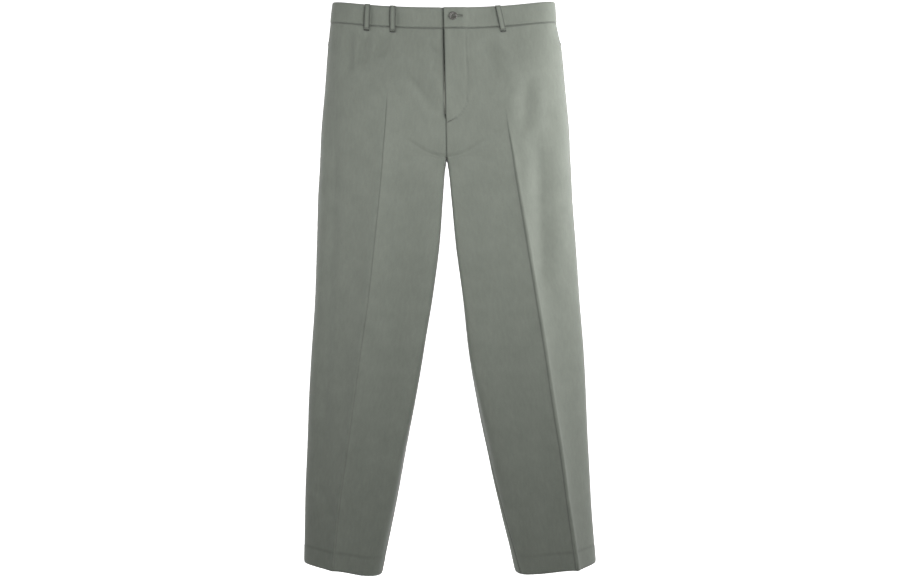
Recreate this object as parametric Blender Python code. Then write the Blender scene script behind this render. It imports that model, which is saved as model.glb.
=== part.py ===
"""Suit trousers, filled out as when worn: four leg panels, a two-piece waistband, fly, button, loops and pockets."""

import bpy
import bmesh
import numpy as np
from mathutils import Vector

MM = 0.001

# Sizes in millimetres. The front faces -Y, +X is the wearer's left, and z = 0 is the top edge at centre front.
CLOTH = 1.3
HEM_WALL = 2.4
HEM_DEPTH = 36.0
SEAM_GAP = 0.3
BAND_HEIGHT = 38.0
BAND_WALL = 2.5
BAND_PROUD = 0.6
FLY_WIDTH = 40.0
FLY_PROUD = 1.8
FLY_LENGTH = 208.0
BAND_UNDERLAP = 38.0
LOOP_WIDTH = 10.5
LOOP_WALL = 1.6
BUTTON_WIDTH = 15.0
BUTTON_SPOT = (17.0, 16.7)
ZIP_TOP = 46.0
ZIP_BOTTOM = 198.0

SIDE_TOP = 18.0
CROTCH_SIDE = -270.0
HEM_OUTER = -1018.5
HEM_INNER = {"left": -1036.0, "right": -1040.0}

BAND_ROWS = 4
RISE_ROWS = 13
LEG_ROWS = 22
ARC = 9
SIDE = 2 * ARC
ROUND = 4 * ARC
SEAM_ROW = BAND_ROWS - 1
CROTCH_ROW = SEAM_ROW + RISE_ROWS

# Distances from the centre line, seen from the front: the outer edge, the inner edge and the pressed crease.
OUTLINE_COLUMNS = "z", "outer_right", "inner_right", "crease_right", "outer_left", "inner_left", "crease_left"
OUTLINE = (
    (30, 204.5, 0, 99, 207, 0, 96),
    (-20, 211, 0, 100, 209.5, 0, 98),
    (-68, 216.6, 0, 102, 217.7, 0, 101),
    (-143, 223.9, 0, 106, 223.4, 0, 106),
    (-208, 230.9, 0, 111, 227.6, 0, 112),
    (-275, 235.5, 0.3, 117.5, 230.2, 0.3, 122),
    (-294, 236.5, 2.8, 119, 231.3, 2.9, 124.5),
    (-347, 239.5, 7.0, 124, 233.8, 7.9, 133.3),
    (-422, 241.4, 13.5, 132, 239.4, 15.3, 146),
    (-533, 245.1, 27.5, 144.6, 246.9, 30.2, 164.2),
    (-626, 250.7, 42.4, 158, 254.3, 40.4, 179.2),
    (-729, 256.3, 60.0, 172, 259.9, 57.6, 194.5),
    (-812, 260.0, 75.8, 183.3, 265.4, 73.9, 208),
    (-905, 263.7, 92.6, 196.3, 271.0, 93.4, 220.4),
    (-1042, 265.8, 119.8, 209.5, 282.0, 124.0, 240),
)
# Front to back at the creases and side seams, how far the panels turn at the front, and how sharp the creases are.
DEPTH_COLUMNS = "z", "front_y", "back_y", "side_y", "round", "front_press", "back_press"
DEPTH = (
    (30, -56, 60, 2, 13, 0, 0),
    (-38, -61, 68, 2, 12, 0, 0),
    (-130, -86, 97, 4, 9, 0, 0),
    (-200, -96, 106, 5, 6, 3, 2),
    (-275, -99, 99, 6, 2, 14, 10),
    (-347, -98, 92, 5, 0, 21, 16),
    (-450, -94, 85, 2, 0, 25, 21),
    (-626, -88, 76, -2, 0, 28, 24),
    (-812, -80, 71, -3, 0, 30, 27),
    (-1042, -74, 69, -2, 0, 32, 30),
)
# Degrees by which the seams are turned round each leg, from its side towards the front (inseam) or back (side seam).
TURN_COLUMNS = "z", "side_right", "inseam_right", "side_left", "inseam_left"
TURN = (
    (30, -4, 0, -8, 0),
    (-200, -8, -8, -9, -8),
    (-350, 0, -6, -5, -8),
    (-626, 3, -2, 5, 0),
    (-756, 6, 1, 12, 8),
    (-885, 8, 6, 20, 20),
    (-1042, 12, 12, 28, 35),
)
# The centre seams from the waist down under the crotch.
RISE_COLUMNS = "front_y", "front_z", "back_y", "back_z"
RISE = (
    (-65, 0, 60, 17),
    (-67.5, -38, 67, -21),
    (-80, -88, 88, -68),
    (-90, -137, 106, -120),
    (-94, -181, 112, -175),
    (-87, -222, 103, -224),
    (-66, -252, 80, -253),
    (-31, -269, 46, -270),
    (12, -275, 12, -275),
)
# The photograph shows the centre line leaning a little to the wearer's left.
LEAN_COLUMNS = "z", "x"
LEAN = (
    (30, -1.8),
    (0, -1.2),
    (-208, 3.4),
    (-285, 4.6),
    (-1060, 4.6),
)
# Soft folds: a line from start to end, the half-width and the depth. A negative depth is a ridge.
FOLD_COLUMNS = "piece", "x0", "z0", "x1", "z1", "width", "depth"
FOLDS = (
    ("front_right", 214, -190, 222, -960, 15, 3.0),
    ("front_right", 172, -42, 176, -120, 9, 2.2),
    ("front_right", 143, -42, 150, -112, 9, 2.0),
    ("front_right", 78, -110, 8, -198, 13, 2.4),
    ("front_right", 232, -868, 204, -936, 12, 2.6),
    ("front_left", 176, -215, 184, -560, 15, 4.2),
    ("front_left", 207, -110, 213, -530, 11, -2.0),
    ("front_left", 149, -125, 140, -240, 13, 2.4),
    ("back_right", 18, -318, 150, -372, 17, 3.6),
    ("back_right", 30, -372, 170, -414, 15, 2.6),
    ("back_right", 90, -600, 215, -646, 18, 2.8),
    ("back_right", 200, -190, 214, -420, 16, 3.0),
    ("back_left", 18, -314, 146, -376, 17, 3.8),
    ("back_left", 34, -380, 168, -410, 15, 2.4),
    ("back_left", 88, -612, 212, -650, 18, 2.8),
    ("back_left", 198, -180, 210, -440, 16, 3.2),
)
# Belt loops: the side it is on, whether at the front, the distance from the centre, and the lean of its lower end.
LOOP_COLUMNS = "name", "side", "part", "x", "lean"
LOOPS = (
    ("belt_loop_front_right_outer", "right", "front", 140.5, 0),
    ("belt_loop_front_right_inner", "right", "front", 93, 0),
    ("belt_loop_front_left", "left", "front", 104, 7),
    ("belt_loop_side_right", "right", "back", 188, 0),
    ("belt_loop_side_left", "left", "back", 186, 0),
    ("belt_loop_back_right", "right", "back", 96, 0),
    ("belt_loop_back_left", "left", "back", 96, 0),
    ("belt_loop_centre_back", "left", "back", 0, 0),
)
# A loop's path: distance below the band's top edge and height of its underside over the panels' surface.
LOOP_PATH_COLUMNS = "below", "height"
LOOP_PATH = (
    (-1.6, 1.1),
    (3, 1.2),
    (8, 2.3),
    (16, 3.4),
    (25, 3.6),
    (34, 2.9),
    (41, 1.5),
    (46, 0.7),
    (49.5, 0.4),
)
# The slider of the zip and its fused tab: distance down, half-width, outer face and inner face over the surface.
SLIDER_COLUMNS = "down", "half_width", "outer", "inner"
SLIDER = (
    (0, 2.6, -1.6, -2.9),
    (1.2, 3.8, 0.0, -2.9),
    (8.4, 3.8, 0.1, -2.9),
    (9.2, 2.4, -0.1, -1.5),
    (16, 2.2, -0.3, -1.4),
    (26, 2.6, -0.3, -1.4),
    (28, 1.6, -0.4, -1.3),
)
# A pocket bag's edge: the row below the waist seam, and how far it reaches from the side seam.
POCKET_COLUMNS = "row", "reach"
POCKET = (
    (0.25, 118),
    (3, 128),
    (8, 136),
    (12, 138),
    (13.2, 120),
    (13.8, 84),
)
MATERIALS = {
    "cloth": ((0.235, 0.25, 0.215), 0.88, 0.0),
    "band_cloth": ((0.24, 0.255, 0.22), 0.88, 0.0),
    "pocketing": ((0.62, 0.61, 0.56), 0.9, 0.0),
    "button": ((0.13, 0.12, 0.09), 0.42, 0.0),
    "zip": ((0.2, 0.2, 0.18), 0.6, 0.0),
    "slider": ((0.45, 0.43, 0.38), 0.35, 0.9),
}


def column(table, columns, name):
    index = columns.index(name)
    return np.array([row[index] for row in table], float)


def eased(x, xs, ys):
    """A smooth curve through (xs, ys) that never overshoots, with xs in falling order."""
    xs, ys = -np.asarray(xs, float), np.asarray(ys, float)
    x = np.clip(-np.asarray(x, float), xs[0], xs[-1])
    steps = np.diff(xs)
    slopes = np.diff(ys) / steps
    tangents = np.zeros(len(xs))
    tangents[0], tangents[-1] = slopes[0], slopes[-1]
    for i in range(1, len(xs) - 1):
        if slopes[i - 1] * slopes[i] > 0:
            w0, w1 = 2 * steps[i] + steps[i - 1], steps[i] + 2 * steps[i - 1]
            tangents[i] = (w0 + w1) / (w0 / slopes[i - 1] + w1 / slopes[i])
    i = np.clip(np.searchsorted(xs, x) - 1, 0, len(xs) - 2)
    t = (x - xs[i]) / steps[i]
    first = (1 + 2 * t) * (1 - t) ** 2 * ys[i] + t * (1 - t) ** 2 * steps[i] * tangents[i]
    return first + t * t * (3 - 2 * t) * ys[i + 1] - t * t * (1 - t) * steps[i] * tangents[i + 1]


def at(table, columns, name, z):
    return float(eased(z, column(table, columns, "z"), column(table, columns, name)))


def smoothstep(low, high, value):
    t = np.clip((value - low) / (high - low), 0, 1)
    return t * t * (3 - 2 * t)


def spaced(points, count):
    """The same path with count + 1 points, evenly spaced along it."""
    lengths = np.linalg.norm(np.diff(points, axis=0), axis=1)
    along = np.concatenate([[0], np.cumsum(lengths)])
    wanted = np.linspace(0, along[-1], count + 1)
    return np.stack([np.interp(wanted, along, axis) for axis in points.T], axis=1)


def through(points, count):
    """A rounded path through the points, evenly spaced."""
    points = np.asarray(points, float)
    padded = np.vstack([2 * points[0] - points[1], points, 2 * points[-1] - points[-2]])
    path = []
    for a, b, c, d in zip(padded, padded[1:], padded[2:], padded[3:]):
        for t in np.linspace(0, 1, 24, endpoint=False):
            path.append(b + 0.5 * t * (c - a + t * (2 * a - 5 * b + 4 * c - d + t * (3 * (b - c) + d - a))))
    path.append(points[-1])
    return spaced(np.array(path), count)


def arc(start, end, leave, arrive, climb, hold=0.39):
    """Points along a curve that leaves and arrives at these angles, in degrees round Z, and climbs at these rates."""
    reach = hold * np.linalg.norm((end - start)[:2])
    out = np.array([np.cos(np.radians(leave)) * reach, np.sin(np.radians(leave)) * reach, climb[0] / 3])
    into = np.array([np.cos(np.radians(arrive)) * reach, np.sin(np.radians(arrive)) * reach, climb[1] / 3])
    t = np.linspace(0, 1, 49)[:, None]
    a, b = start + out, end - into
    curve = (1 - t) ** 3 * start + 3 * t * (1 - t) ** 2 * a + 3 * t * t * (1 - t) * b + t**3 * end
    return spaced(curve, ARC)


def row_plan(side):
    """For each row: the front and back centre points, the height at the side, and how far down the rise it is."""
    front = np.stack([column(RISE, RISE_COLUMNS, "front_y"), column(RISE, RISE_COLUMNS, "front_z")], axis=1)
    back = np.stack([column(RISE, RISE_COLUMNS, "back_y"), column(RISE, RISE_COLUMNS, "back_z")], axis=1)
    front_band, back_band = spaced(front[:2], SEAM_ROW), spaced(back[:2], SEAM_ROW)
    front_rise, back_rise = through(front[1:], RISE_ROWS), through(back[1:], RISE_ROWS)
    plan = []
    for k in range(SEAM_ROW):
        side_z = SIDE_TOP - BAND_HEIGHT * k / SEAM_ROW
        plan.append((front_band[k], back_band[k], side_z, 0.0))
    side_seam = SIDE_TOP - BAND_HEIGHT
    for k in range(RISE_ROWS + 1):
        t = k / RISE_ROWS
        plan.append((front_rise[k], back_rise[k], side_seam + (CROTCH_SIDE - side_seam) * t, t))
    crotch_y, crotch_z = front[-1]
    for k in range(1, LEG_ROWS + 1):
        t = (k / LEG_ROWS) ** 1.12
        point = np.array([crotch_y * (1 - t), crotch_z + (HEM_INNER[side] - crotch_z) * t])
        plan.append((point, point, CROTCH_SIDE + (HEM_OUTER - CROTCH_SIDE) * t, 2.0))
    return plan


def ring(side, front, back, side_z, rise):
    """One row round a leg, or round half the hips, from the front centre past the side to the back centre."""
    def outline(name, z):
        return at(OUTLINE, OUTLINE_COLUMNS, f"{name}_{side}", z)

    def depth(name, z):
        return at(DEPTH, DEPTH_COLUMNS, name, z)

    def turned(name, z):
        return at(TURN, TURN_COLUMNS, f"{name}_{side}", z)

    half = (outline("outer", side_z) - outline("inner", side_z)) / 2
    side_turn = turned("side", side_z)
    drop = np.radians(side_turn)
    side_point = np.array([
        outline("outer", side_z) - half * (1 - np.cos(drop)),
        depth("side_y", side_z) + half * np.sin(drop) * 0.9,
        side_z,
    ])
    follow = 0.3 + 0.5 * smoothstep(0.45, 0, rise)
    front_z = side_z + follow * (front[1] - side_z)
    back_z = side_z + follow * (back[1] - side_z)
    middle = (outline("outer", front_z) + outline("inner", front_z)) / 2
    crease = outline("crease", front_z)
    twist = np.degrees(np.arctan2(crease - middle, 90))
    front_crease = np.array([crease, depth("front_y", front_z), front_z])
    back_crease = np.array([2 * middle - crease, depth("back_y", back_z), back_z])
    front_turn = twist + depth("round", front_z)
    back_turn = 180 + twist - depth("round", back_z)
    if rise <= 1:
        start, leave = np.array([0.0, front[0], front[1]]), -82 * smoothstep(0.48, 0.88, rise)
        end, arrive = np.array([0.0, back[0], back[1]]), 180 + 82 * smoothstep(0.6, 1, rise)
    else:
        inner_z = front[1]
        swing = np.radians(turned("inseam", inner_z))
        start = np.array([
            outline("inner", inner_z) + half * (1 - np.cos(swing)),
            front[0] - half * np.sin(swing) * 0.9,
            inner_z,
        ])
        end = start
        leave = -90 + np.degrees(swing)
        arrive = 270 + np.degrees(swing)
    front_press, back_press = depth("front_press", front_z), depth("back_press", back_z)
    front_climb, side_climb, back_climb = (side_z - front[1]) / 2, (back_z - front_z) / 2, (back[1] - side_z) / 2
    arcs = (
        arc(start, front_crease, leave, front_turn - front_press, (0, front_climb)),
        arc(front_crease, side_point, front_turn + front_press, 90 + side_turn, (front_climb, side_climb)),
        arc(side_point, back_crease, 90 + side_turn, back_turn - back_press, (side_climb, back_climb)),
        arc(back_crease, end, back_turn + back_press, arrive, (back_climb, 0)),
    )
    return np.vstack([arcs[0]] + [one[1:] for one in arcs[1:]])


def normals_of(grid):
    """Outward directions, the same for both panels at a seam. Below the crotch the rows close on themselves."""
    across = np.empty_like(grid)
    across[:, 1:-1] = grid[:, 2:] - grid[:, :-2]
    across[:, 0] = grid[:, 1] - grid[:, 0]
    across[:, -1] = grid[:, -1] - grid[:, -2]
    closed = slice(CROTCH_ROW, None)
    across[closed, 0] = across[closed, -1] = grid[closed, 1] - grid[closed, -2]
    down = np.empty_like(grid)
    down[1:-1] = grid[2:] - grid[:-2]
    down[0], down[-1] = grid[1] - grid[0], grid[-1] - grid[-2]
    found = np.cross(down, across)
    return found / np.linalg.norm(found, axis=2, keepdims=True)


def folded(side, grid, normals):
    """The grid with the soft folds pressed into it, and the front of the fly raised on the wearer's left."""
    shift = np.zeros(grid.shape[:2])
    for row in FOLDS:
        fold = dict(zip(FOLD_COLUMNS, row))
        part, fold_side = fold["piece"].split("_")
        if fold_side != side:
            continue
        columns = slice(0, SIDE + 1) if part == "front" else slice(SIDE, ROUND + 1)
        points = grid[:, columns][:, :, [0, 2]]
        start, end = np.array([fold["x0"], fold["z0"]]), np.array([fold["x1"], fold["z1"]])
        line = end - start
        t = ((points - start) @ line) / (line @ line)
        across = np.abs((points - start) @ np.array([-line[1], line[0]])) / np.linalg.norm(line)
        fade = smoothstep(-0.06, 0.22, t) * smoothstep(1.06, 0.78, t)
        shift[:, columns] -= fold["depth"] * fade * np.exp(-((across / fold["width"]) ** 2))
    shift[: SEAM_ROW + 1] = 0
    shift[SEAM_ROW + 1] *= 0.5
    for seam in (0, SIDE, ROUND):
        shift[:, seam] = 0
    if side == "left":
        x, z = grid[:, : SIDE + 1, 0], grid[:, : SIDE + 1, 2]
        raised = smoothstep(FLY_WIDTH + 8, FLY_WIDTH - 3, x) * smoothstep(-FLY_LENGTH - 16, -FLY_LENGTH + 16, z)
        shift[:, : SIDE + 1] += FLY_PROUD * raised
    return grid + normals * shift[:, :, None]


def surface_of(side):
    """The outer face of one side as a grid of rows and columns, with x counted from the centre outwards."""
    grid = np.array([ring(side, *row) for row in row_plan(side)])
    grid[..., 0] = np.maximum(grid[..., 0], 0)
    normals = normals_of(grid)
    shaped = folded(side, grid, normals)
    return shaped, normals_of(shaped) * 0.5 + normals * 0.5


def on_side(side, points):
    """Points counted outwards from the centre, put on their side."""
    return points * np.array([1 if side == "left" else -1, 1, 1])


def leant(points):
    shifted = np.array(points, float)
    shifted[..., 0] += np.interp(-shifted[..., 2], -column(LEAN, LEAN_COLUMNS, "z"), column(LEAN, LEAN_COLUMNS, "x"))
    return shifted


def clear_of_seams(grid, rows=(False, False)):
    """The grid with its outer columns, and the rows that are asked for, drawn in by half the gap of a seam."""
    drawn = grid.copy()
    edges = [(np.s_[:, 0], np.s_[:, 1]), (np.s_[:, -1], np.s_[:, -2])]
    if rows[0]:
        edges.append((np.s_[0], np.s_[1]))
    if rows[1]:
        edges.append((np.s_[-1], np.s_[-2]))
    for edge, inside in edges:
        step = drawn[inside] - drawn[edge]
        drawn[edge] += step * (SEAM_GAP / 2) / np.linalg.norm(step, axis=1, keepdims=True)
    return drawn


def new_object(name, points, faces, look, bevel=None):
    mesh = bpy.data.meshes.new(name)
    mesh.from_pydata([tuple(p * MM) for p in points], [], faces)
    build = bmesh.new()
    build.from_mesh(mesh)
    if build.calc_volume(signed=True) < 0:
        bmesh.ops.reverse_faces(build, faces=build.faces)
    build.to_mesh(mesh)
    build.free()
    obj = bpy.data.objects.new(name, mesh)
    trousers.objects.link(obj)
    mesh.materials.append(material(look))
    return obj


def material(name):
    found = bpy.data.materials.get(name)
    if found:
        return found
    found = bpy.data.materials.new(name)
    found.use_nodes = True
    colour, roughness, metallic = MATERIALS[name]
    shader = found.node_tree.nodes["Principled BSDF"]
    shader.inputs["Base Color"].default_value = (*colour, 1)
    shader.inputs["Roughness"].default_value = roughness
    shader.inputs["Metallic"].default_value = metallic
    found.diffuse_color = (*colour, 1)
    return found


def wall(name, outer, inner, look):
    """A closed wall between two grids of the same shape."""
    rows, columns = outer.shape[:2]
    points = np.vstack([outer.reshape(-1, 3), inner.reshape(-1, 3)])
    first = rows * columns

    def at_cell(r, c):
        return r * columns + c

    faces = []
    for r in range(rows - 1):
        for c in range(columns - 1):
            a, b = at_cell(r, c), at_cell(r, c + 1)
            d, e = at_cell(r + 1, c + 1), at_cell(r + 1, c)
            faces.append((a, b, d, e))
            faces.append((e + first, d + first, b + first, a + first))
    for c in range(columns - 1):
        a, b = at_cell(0, c), at_cell(0, c + 1)
        faces.append((b, a, a + first, b + first))
        a, b = at_cell(rows - 1, c), at_cell(rows - 1, c + 1)
        faces.append((a, b, b + first, a + first))
    for r in range(rows - 1):
        a, b = at_cell(r, 0), at_cell(r + 1, 0)
        faces.append((a, b, b + first, a + first))
        a, b = at_cell(r, columns - 1), at_cell(r + 1, columns - 1)
        faces.append((b, a, a + first, b + first))
    return new_object(name, leant(points), faces, look)


def kept_apart(points, edge):
    """No point of a side comes nearer to the centre plane than half a seam's gap."""
    points[..., 0] = np.maximum(points[..., 0], edge)
    return points


def leg_panel(side, part):
    columns = slice(0, SIDE + 1) if part == "front" else slice(SIDE, ROUND + 1)
    grid, normals = (array[SEAM_ROW:, columns] for array in surfaces[side])
    outer = kept_apart(clear_of_seams(grid, rows=(True, False)), SEAM_GAP / 2)
    from_hem = (grid[:, :, 2] - grid[-1, :, 2])[:, :, None]
    thickness = CLOTH + (HEM_WALL - CLOTH) * smoothstep(HEM_DEPTH + 20, HEM_DEPTH, from_hem)
    inner = kept_apart(outer - normals * thickness, SEAM_GAP / 2)
    wall(f"{part}_{side}", on_side(side, outer), on_side(side, inner), "cloth")


def waistband(side):
    """The left band laps over at the front. The right band steps in and runs on under it."""
    grid, normals = (array[:BAND_ROWS] for array in surfaces[side])
    proud = np.full(grid.shape[:2], BAND_PROUD)
    base = kept_apart(clear_of_seams(grid, rows=(False, True)), SEAM_GAP / 2)
    signed = on_side(side, base)
    outward = on_side(side, normals)
    if side == "right":
        other, other_normals = (array[:BAND_ROWS] for array in surfaces["left"])
        under = [c for c in range(1, SIDE) if other[0, c, 0] < BAND_UNDERLAP + 2][::-1]
        drawn = clear_of_seams(other, rows=(False, True)) - other_normals * FLY_PROUD
        proud[:, 0] = -1.3
        proud = np.hstack([np.full((BAND_ROWS, len(under)), -1.3), proud])
        signed = np.hstack([drawn[:, under], signed])
        outward = np.hstack([other_normals[:, under], outward])
    outer = signed + outward * proud[:, :, None]
    wall(f"waistband_{side}", outer, outer - outward * BAND_WALL, "band_cloth")


class Front:
    """Reads the front surface at a signed distance from the centre line, at any row."""

    def __init__(self):
        left, right = surfaces["left"], surfaces["right"]
        self.grid = np.hstack([on_side("right", right[0])[:, SIDE:0:-1], left[0][:, : SIDE + 1]])
        self.normals = np.hstack([on_side("right", right[1])[:, SIDE:0:-1], left[1][:, : SIDE + 1]])

    def spot(self, x, z, height):
        """A point this far out from the surface of the wearer's right front, at (x, z)."""
        best = []
        for r in range(len(self.grid)):
            xs = self.grid[r, :, 0]
            point = [np.interp(x, xs, self.grid[r, :, axis]) for axis in (1, 2)]
            normal = [np.interp(x, xs, self.normals[r, :, axis]) for axis in range(3)]
            best.append((point[1], point[0], *normal))
        best = np.array(best)
        y, *normal = (np.interp(-z, -best[:, 0], best[:, k]) for k in range(1, 5))
        lift = FLY_PROUD * smoothstep(FLY_WIDTH + 8, FLY_WIDTH - 3, x) * (x > 0)
        normal = np.array(normal) / np.linalg.norm(normal)
        return np.array([x, y, z]) + normal * (height - lift), normal


def zip_tape():
    """The tape on both sides of the closed chain, and the chain as a low ridge along it."""
    xs = (-13, -5, 3, 7.4, 8.4, 12.6, 13.6, 19, 26)
    heights = (-3.2, -3.2, -3.2, -3.2, -1.9, -1.9, -3.2, -3.2, -3.2)
    zs = np.concatenate([[-ZIP_TOP, -ZIP_TOP - 11.5, -ZIP_TOP - 12.5], np.linspace(-ZIP_TOP - 24, -ZIP_BOTTOM, 11)])
    outer, inner = [], []
    for z in zs:
        ridge = z < -ZIP_TOP - 12
        row = [front.spot(x, z, h if ridge else -3.2) for x, h in zip(xs, heights)]
        outer.append([point for point, _ in row])
        inner.append([front.spot(x, z, -3.9)[0] for x in xs])
    wall("fly_zip", np.array(outer), np.array(inner), "zip")


def zip_slider():
    outer, inner = [], []
    for values in SLIDER:
        row = dict(zip(SLIDER_COLUMNS, values))
        z = -ZIP_TOP - 2 - row["down"]
        xs = 10.5 + row["half_width"] * np.array([-1, -0.75, 0.75, 1])
        sink = (0.35, 0, 0, 0.35)
        outer.append([front.spot(x, z, row["outer"] - s)[0] for x, s in zip(xs, sink)])
        inner.append([front.spot(x, z, row["inner"])[0] for x in xs])
    wall("fly_zip_slider", np.array(outer), np.array(inner), "slider")


def row_at(grid, c, below):
    """The row, with its fraction, that lies this far below the top edge in column c."""
    lengths = np.linalg.norm(np.diff(grid[:, c], axis=0), axis=1)
    along = np.concatenate([[0], np.cumsum(lengths)])
    return np.interp(below, along, np.arange(len(along)))


def read(grid, r, c):
    """The grid's value at a row and a column with fractions, carried on past its first row."""
    r0, c0 = int(np.clip(np.floor(r), 0, len(grid) - 2)), int(np.clip(np.floor(c), 0, grid.shape[1] - 2))
    u, v = r - r0, c - c0
    top = grid[r0, c0] * (1 - v) + grid[r0, c0 + 1] * v
    low = grid[r0 + 1, c0] * (1 - v) + grid[r0 + 1, c0 + 1] * v
    return top * (1 - u) + low * u


def belt_loop(name, side, part, x, lean):
    grid, normals = surfaces[side]
    if x == 0:
        other, other_normals = (on_side("right", array) for array in surfaces["right"])
        grid = np.hstack([grid, other[:, -2::-1]])
        normals = np.hstack([normals, other_normals[:, -2::-1]])
    seam = grid[SEAM_ROW, :, 0]
    if part == "front":
        middle = np.interp(x, seam[: SIDE + 1], np.arange(SIDE + 1))
    elif x == 0:
        middle = ROUND
    else:
        middle = np.interp(-x, -seam[SIDE : ROUND + 1], np.arange(SIDE, ROUND + 1))
    spacing = np.linalg.norm(grid[SEAM_ROW, int(middle)] - grid[SEAM_ROW, int(middle) - 1])
    outer, inner = [], []
    for below, height in LOOP_PATH:
        drift = lean * (below - 25) / 50
        outer_row, inner_row = [], []
        for across in (-1, -0.8, 0.8, 1):
            c = middle + (across * LOOP_WIDTH / 2 + drift) / spacing
            r = row_at(grid, int(c), below) if below >= 0 else below / 12.7
            normal = read(normals, r, c)
            normal = normal / np.linalg.norm(normal)
            base = read(grid, r, c)
            edge = 0.3 if abs(across) == 1 else 0
            outer_row.append(base + normal * (height + LOOP_WALL - edge))
            inner_row.append(base + normal * height)
        outer.append(outer_row)
        inner.append(inner_row)
    wall(name, on_side(side, np.array(outer)), on_side(side, np.array(inner)), "band_cloth")


def pocket_bag(side):
    """The bag of a side pocket, its two layers pressed together, hanging behind the front panel."""
    grid, normals = (array[SEAM_ROW:, : SIDE + 1] for array in surfaces[side])
    rows = [0.25, 1.5, 3, 4.5, 6, 7.5, 9, 10.5, 12, 12.8, 13.4, 13.8]
    outer, inner = [], []
    for r in rows:
        reach = np.interp(r, column(POCKET, POCKET_COLUMNS, "row"), column(POCKET, POCKET_COLUMNS, "reach"))
        near, far = int(r), min(int(r) + 1, len(grid) - 1)
        line = grid[near] * (1 - (r - near)) + grid[far] * (r - near)
        along = np.concatenate([[0], np.cumsum(np.linalg.norm(np.diff(line[::-1], axis=0), axis=1))])
        outer_row, inner_row = [], []
        for t in np.linspace(0, 1, 9):
            c = SIDE - np.interp(3 + t * (reach - 3), along, np.arange(len(along)))
            base, normal = read(grid, r, c), read(normals, r, c)
            normal = normal / np.linalg.norm(normal)
            outer_row.append(base - normal * (CLOTH + 1.4))
            inner_row.append(base - normal * (CLOTH + 3.2))
        outer.append(outer_row)
        inner.append(inner_row)
    wall(f"pocket_bag_{side}", on_side(side, np.array(outer)), on_side(side, np.array(inner)), "pocketing")


def button():
    """A turned button with a raised rim and four holes, standing on the lapped band."""
    radius = BUTTON_WIDTH / 2
    profile = ((0, 1.0), (4.1, 1.0), (5.0, 1.5), (6.0, 2.3), (6.9, 2.2), (radius, 1.5), (7.2, 0.6), (5.6, 0.0), (0, 0.0))
    sides = 32
    points, faces = [np.array([0, 0, profile[0][1]])], []
    for r, h in profile[1:-1]:
        for k in range(sides):
            angle = 2 * np.pi * k / sides
            points.append(np.array([r * np.cos(angle), r * np.sin(angle), h]))
    points.append(np.array([0, 0, profile[-1][1]]))
    rings = len(profile) - 2
    for k in range(sides):
        n = (k + 1) % sides
        faces.append((0, 1 + k, 1 + n))
        faces.append((len(points) - 1, 1 + (rings - 1) * sides + n, 1 + (rings - 1) * sides + k))
        for r in range(rings - 1):
            a, b = 1 + r * sides, 1 + (r + 1) * sides
            faces.append((a + k, b + k, b + n, a + n))
    x, below = BUTTON_SPOT
    spot, normal = front.spot(x, -below, BAND_PROUD + FLY_PROUD + 0.4)
    turn = np.array(Vector((0, 0, 1)).rotation_difference(Vector(normal)).to_matrix())
    placed = leant(np.array(points) @ turn.T + spot)
    body = new_object("waist_button", placed, faces, "button")
    centre = leant(spot) * MM
    for k, (u, v) in enumerate(((-1, -1), (1, -1), (1, 1), (-1, 1))):
        cutter = bpy.data.objects.new(f"button_hole_{k}", cylinder_mesh(0.85, 8))
        cutters.objects.link(cutter)
        cutter.hide_render = True
        cutter.display_type = "WIRE"
        offset = turn @ np.array([u * 1.5, v * 1.5, 0]) * MM
        cutter.location = centre + offset
        cutter.rotation_euler = Vector((0, 0, 1)).rotation_difference(Vector(normal)).to_euler()
        cut = body.modifiers.new(f"hole_{k}", "BOOLEAN")
        cut.operation = "DIFFERENCE"
        cut.object = cutter
        cut.solver = "EXACT"


def cylinder_mesh(radius, height):
    mesh = bpy.data.meshes.new("hole")
    build = bmesh.new()
    bmesh.ops.create_cone(
        build, cap_ends=True, segments=12, radius1=radius * MM, radius2=radius * MM, depth=height * MM
    )
    build.to_mesh(mesh)
    build.free()
    return mesh


for old in list(bpy.data.objects):
    bpy.data.objects.remove(old)
trousers = bpy.data.collections.new("suit_trousers")
cutters = bpy.data.collections.new("cutters")
bpy.context.scene.collection.children.link(trousers)
bpy.context.scene.collection.children.link(cutters)
cutters.hide_render = True

surfaces = {side: surface_of(side) for side in ("left", "right")}
front = Front()
for side in ("left", "right"):
    leg_panel(side, "front")
    leg_panel(side, "back")
    waistband(side)
    pocket_bag(side)
for row in LOOPS:
    belt_loop(*row)
zip_tape()
zip_slider()
button()
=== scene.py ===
import math
import bpy
import bmesh
import numpy as np
from mathutils import Matrix, Vector


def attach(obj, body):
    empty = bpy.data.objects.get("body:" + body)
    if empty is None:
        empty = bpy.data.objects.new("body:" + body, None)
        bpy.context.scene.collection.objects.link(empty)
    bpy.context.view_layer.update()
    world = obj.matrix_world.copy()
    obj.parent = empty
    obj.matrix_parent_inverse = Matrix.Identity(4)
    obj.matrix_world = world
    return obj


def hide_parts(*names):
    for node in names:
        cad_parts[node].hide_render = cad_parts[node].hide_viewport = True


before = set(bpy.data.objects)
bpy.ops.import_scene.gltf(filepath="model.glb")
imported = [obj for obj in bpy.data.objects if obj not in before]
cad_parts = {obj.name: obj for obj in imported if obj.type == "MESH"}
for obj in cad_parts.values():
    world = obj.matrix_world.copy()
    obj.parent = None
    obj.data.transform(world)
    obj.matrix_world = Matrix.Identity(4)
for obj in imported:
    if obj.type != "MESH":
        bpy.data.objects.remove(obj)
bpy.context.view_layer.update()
print("frame loaded:", len(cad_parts), "solids")

mm = 0.001

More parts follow.
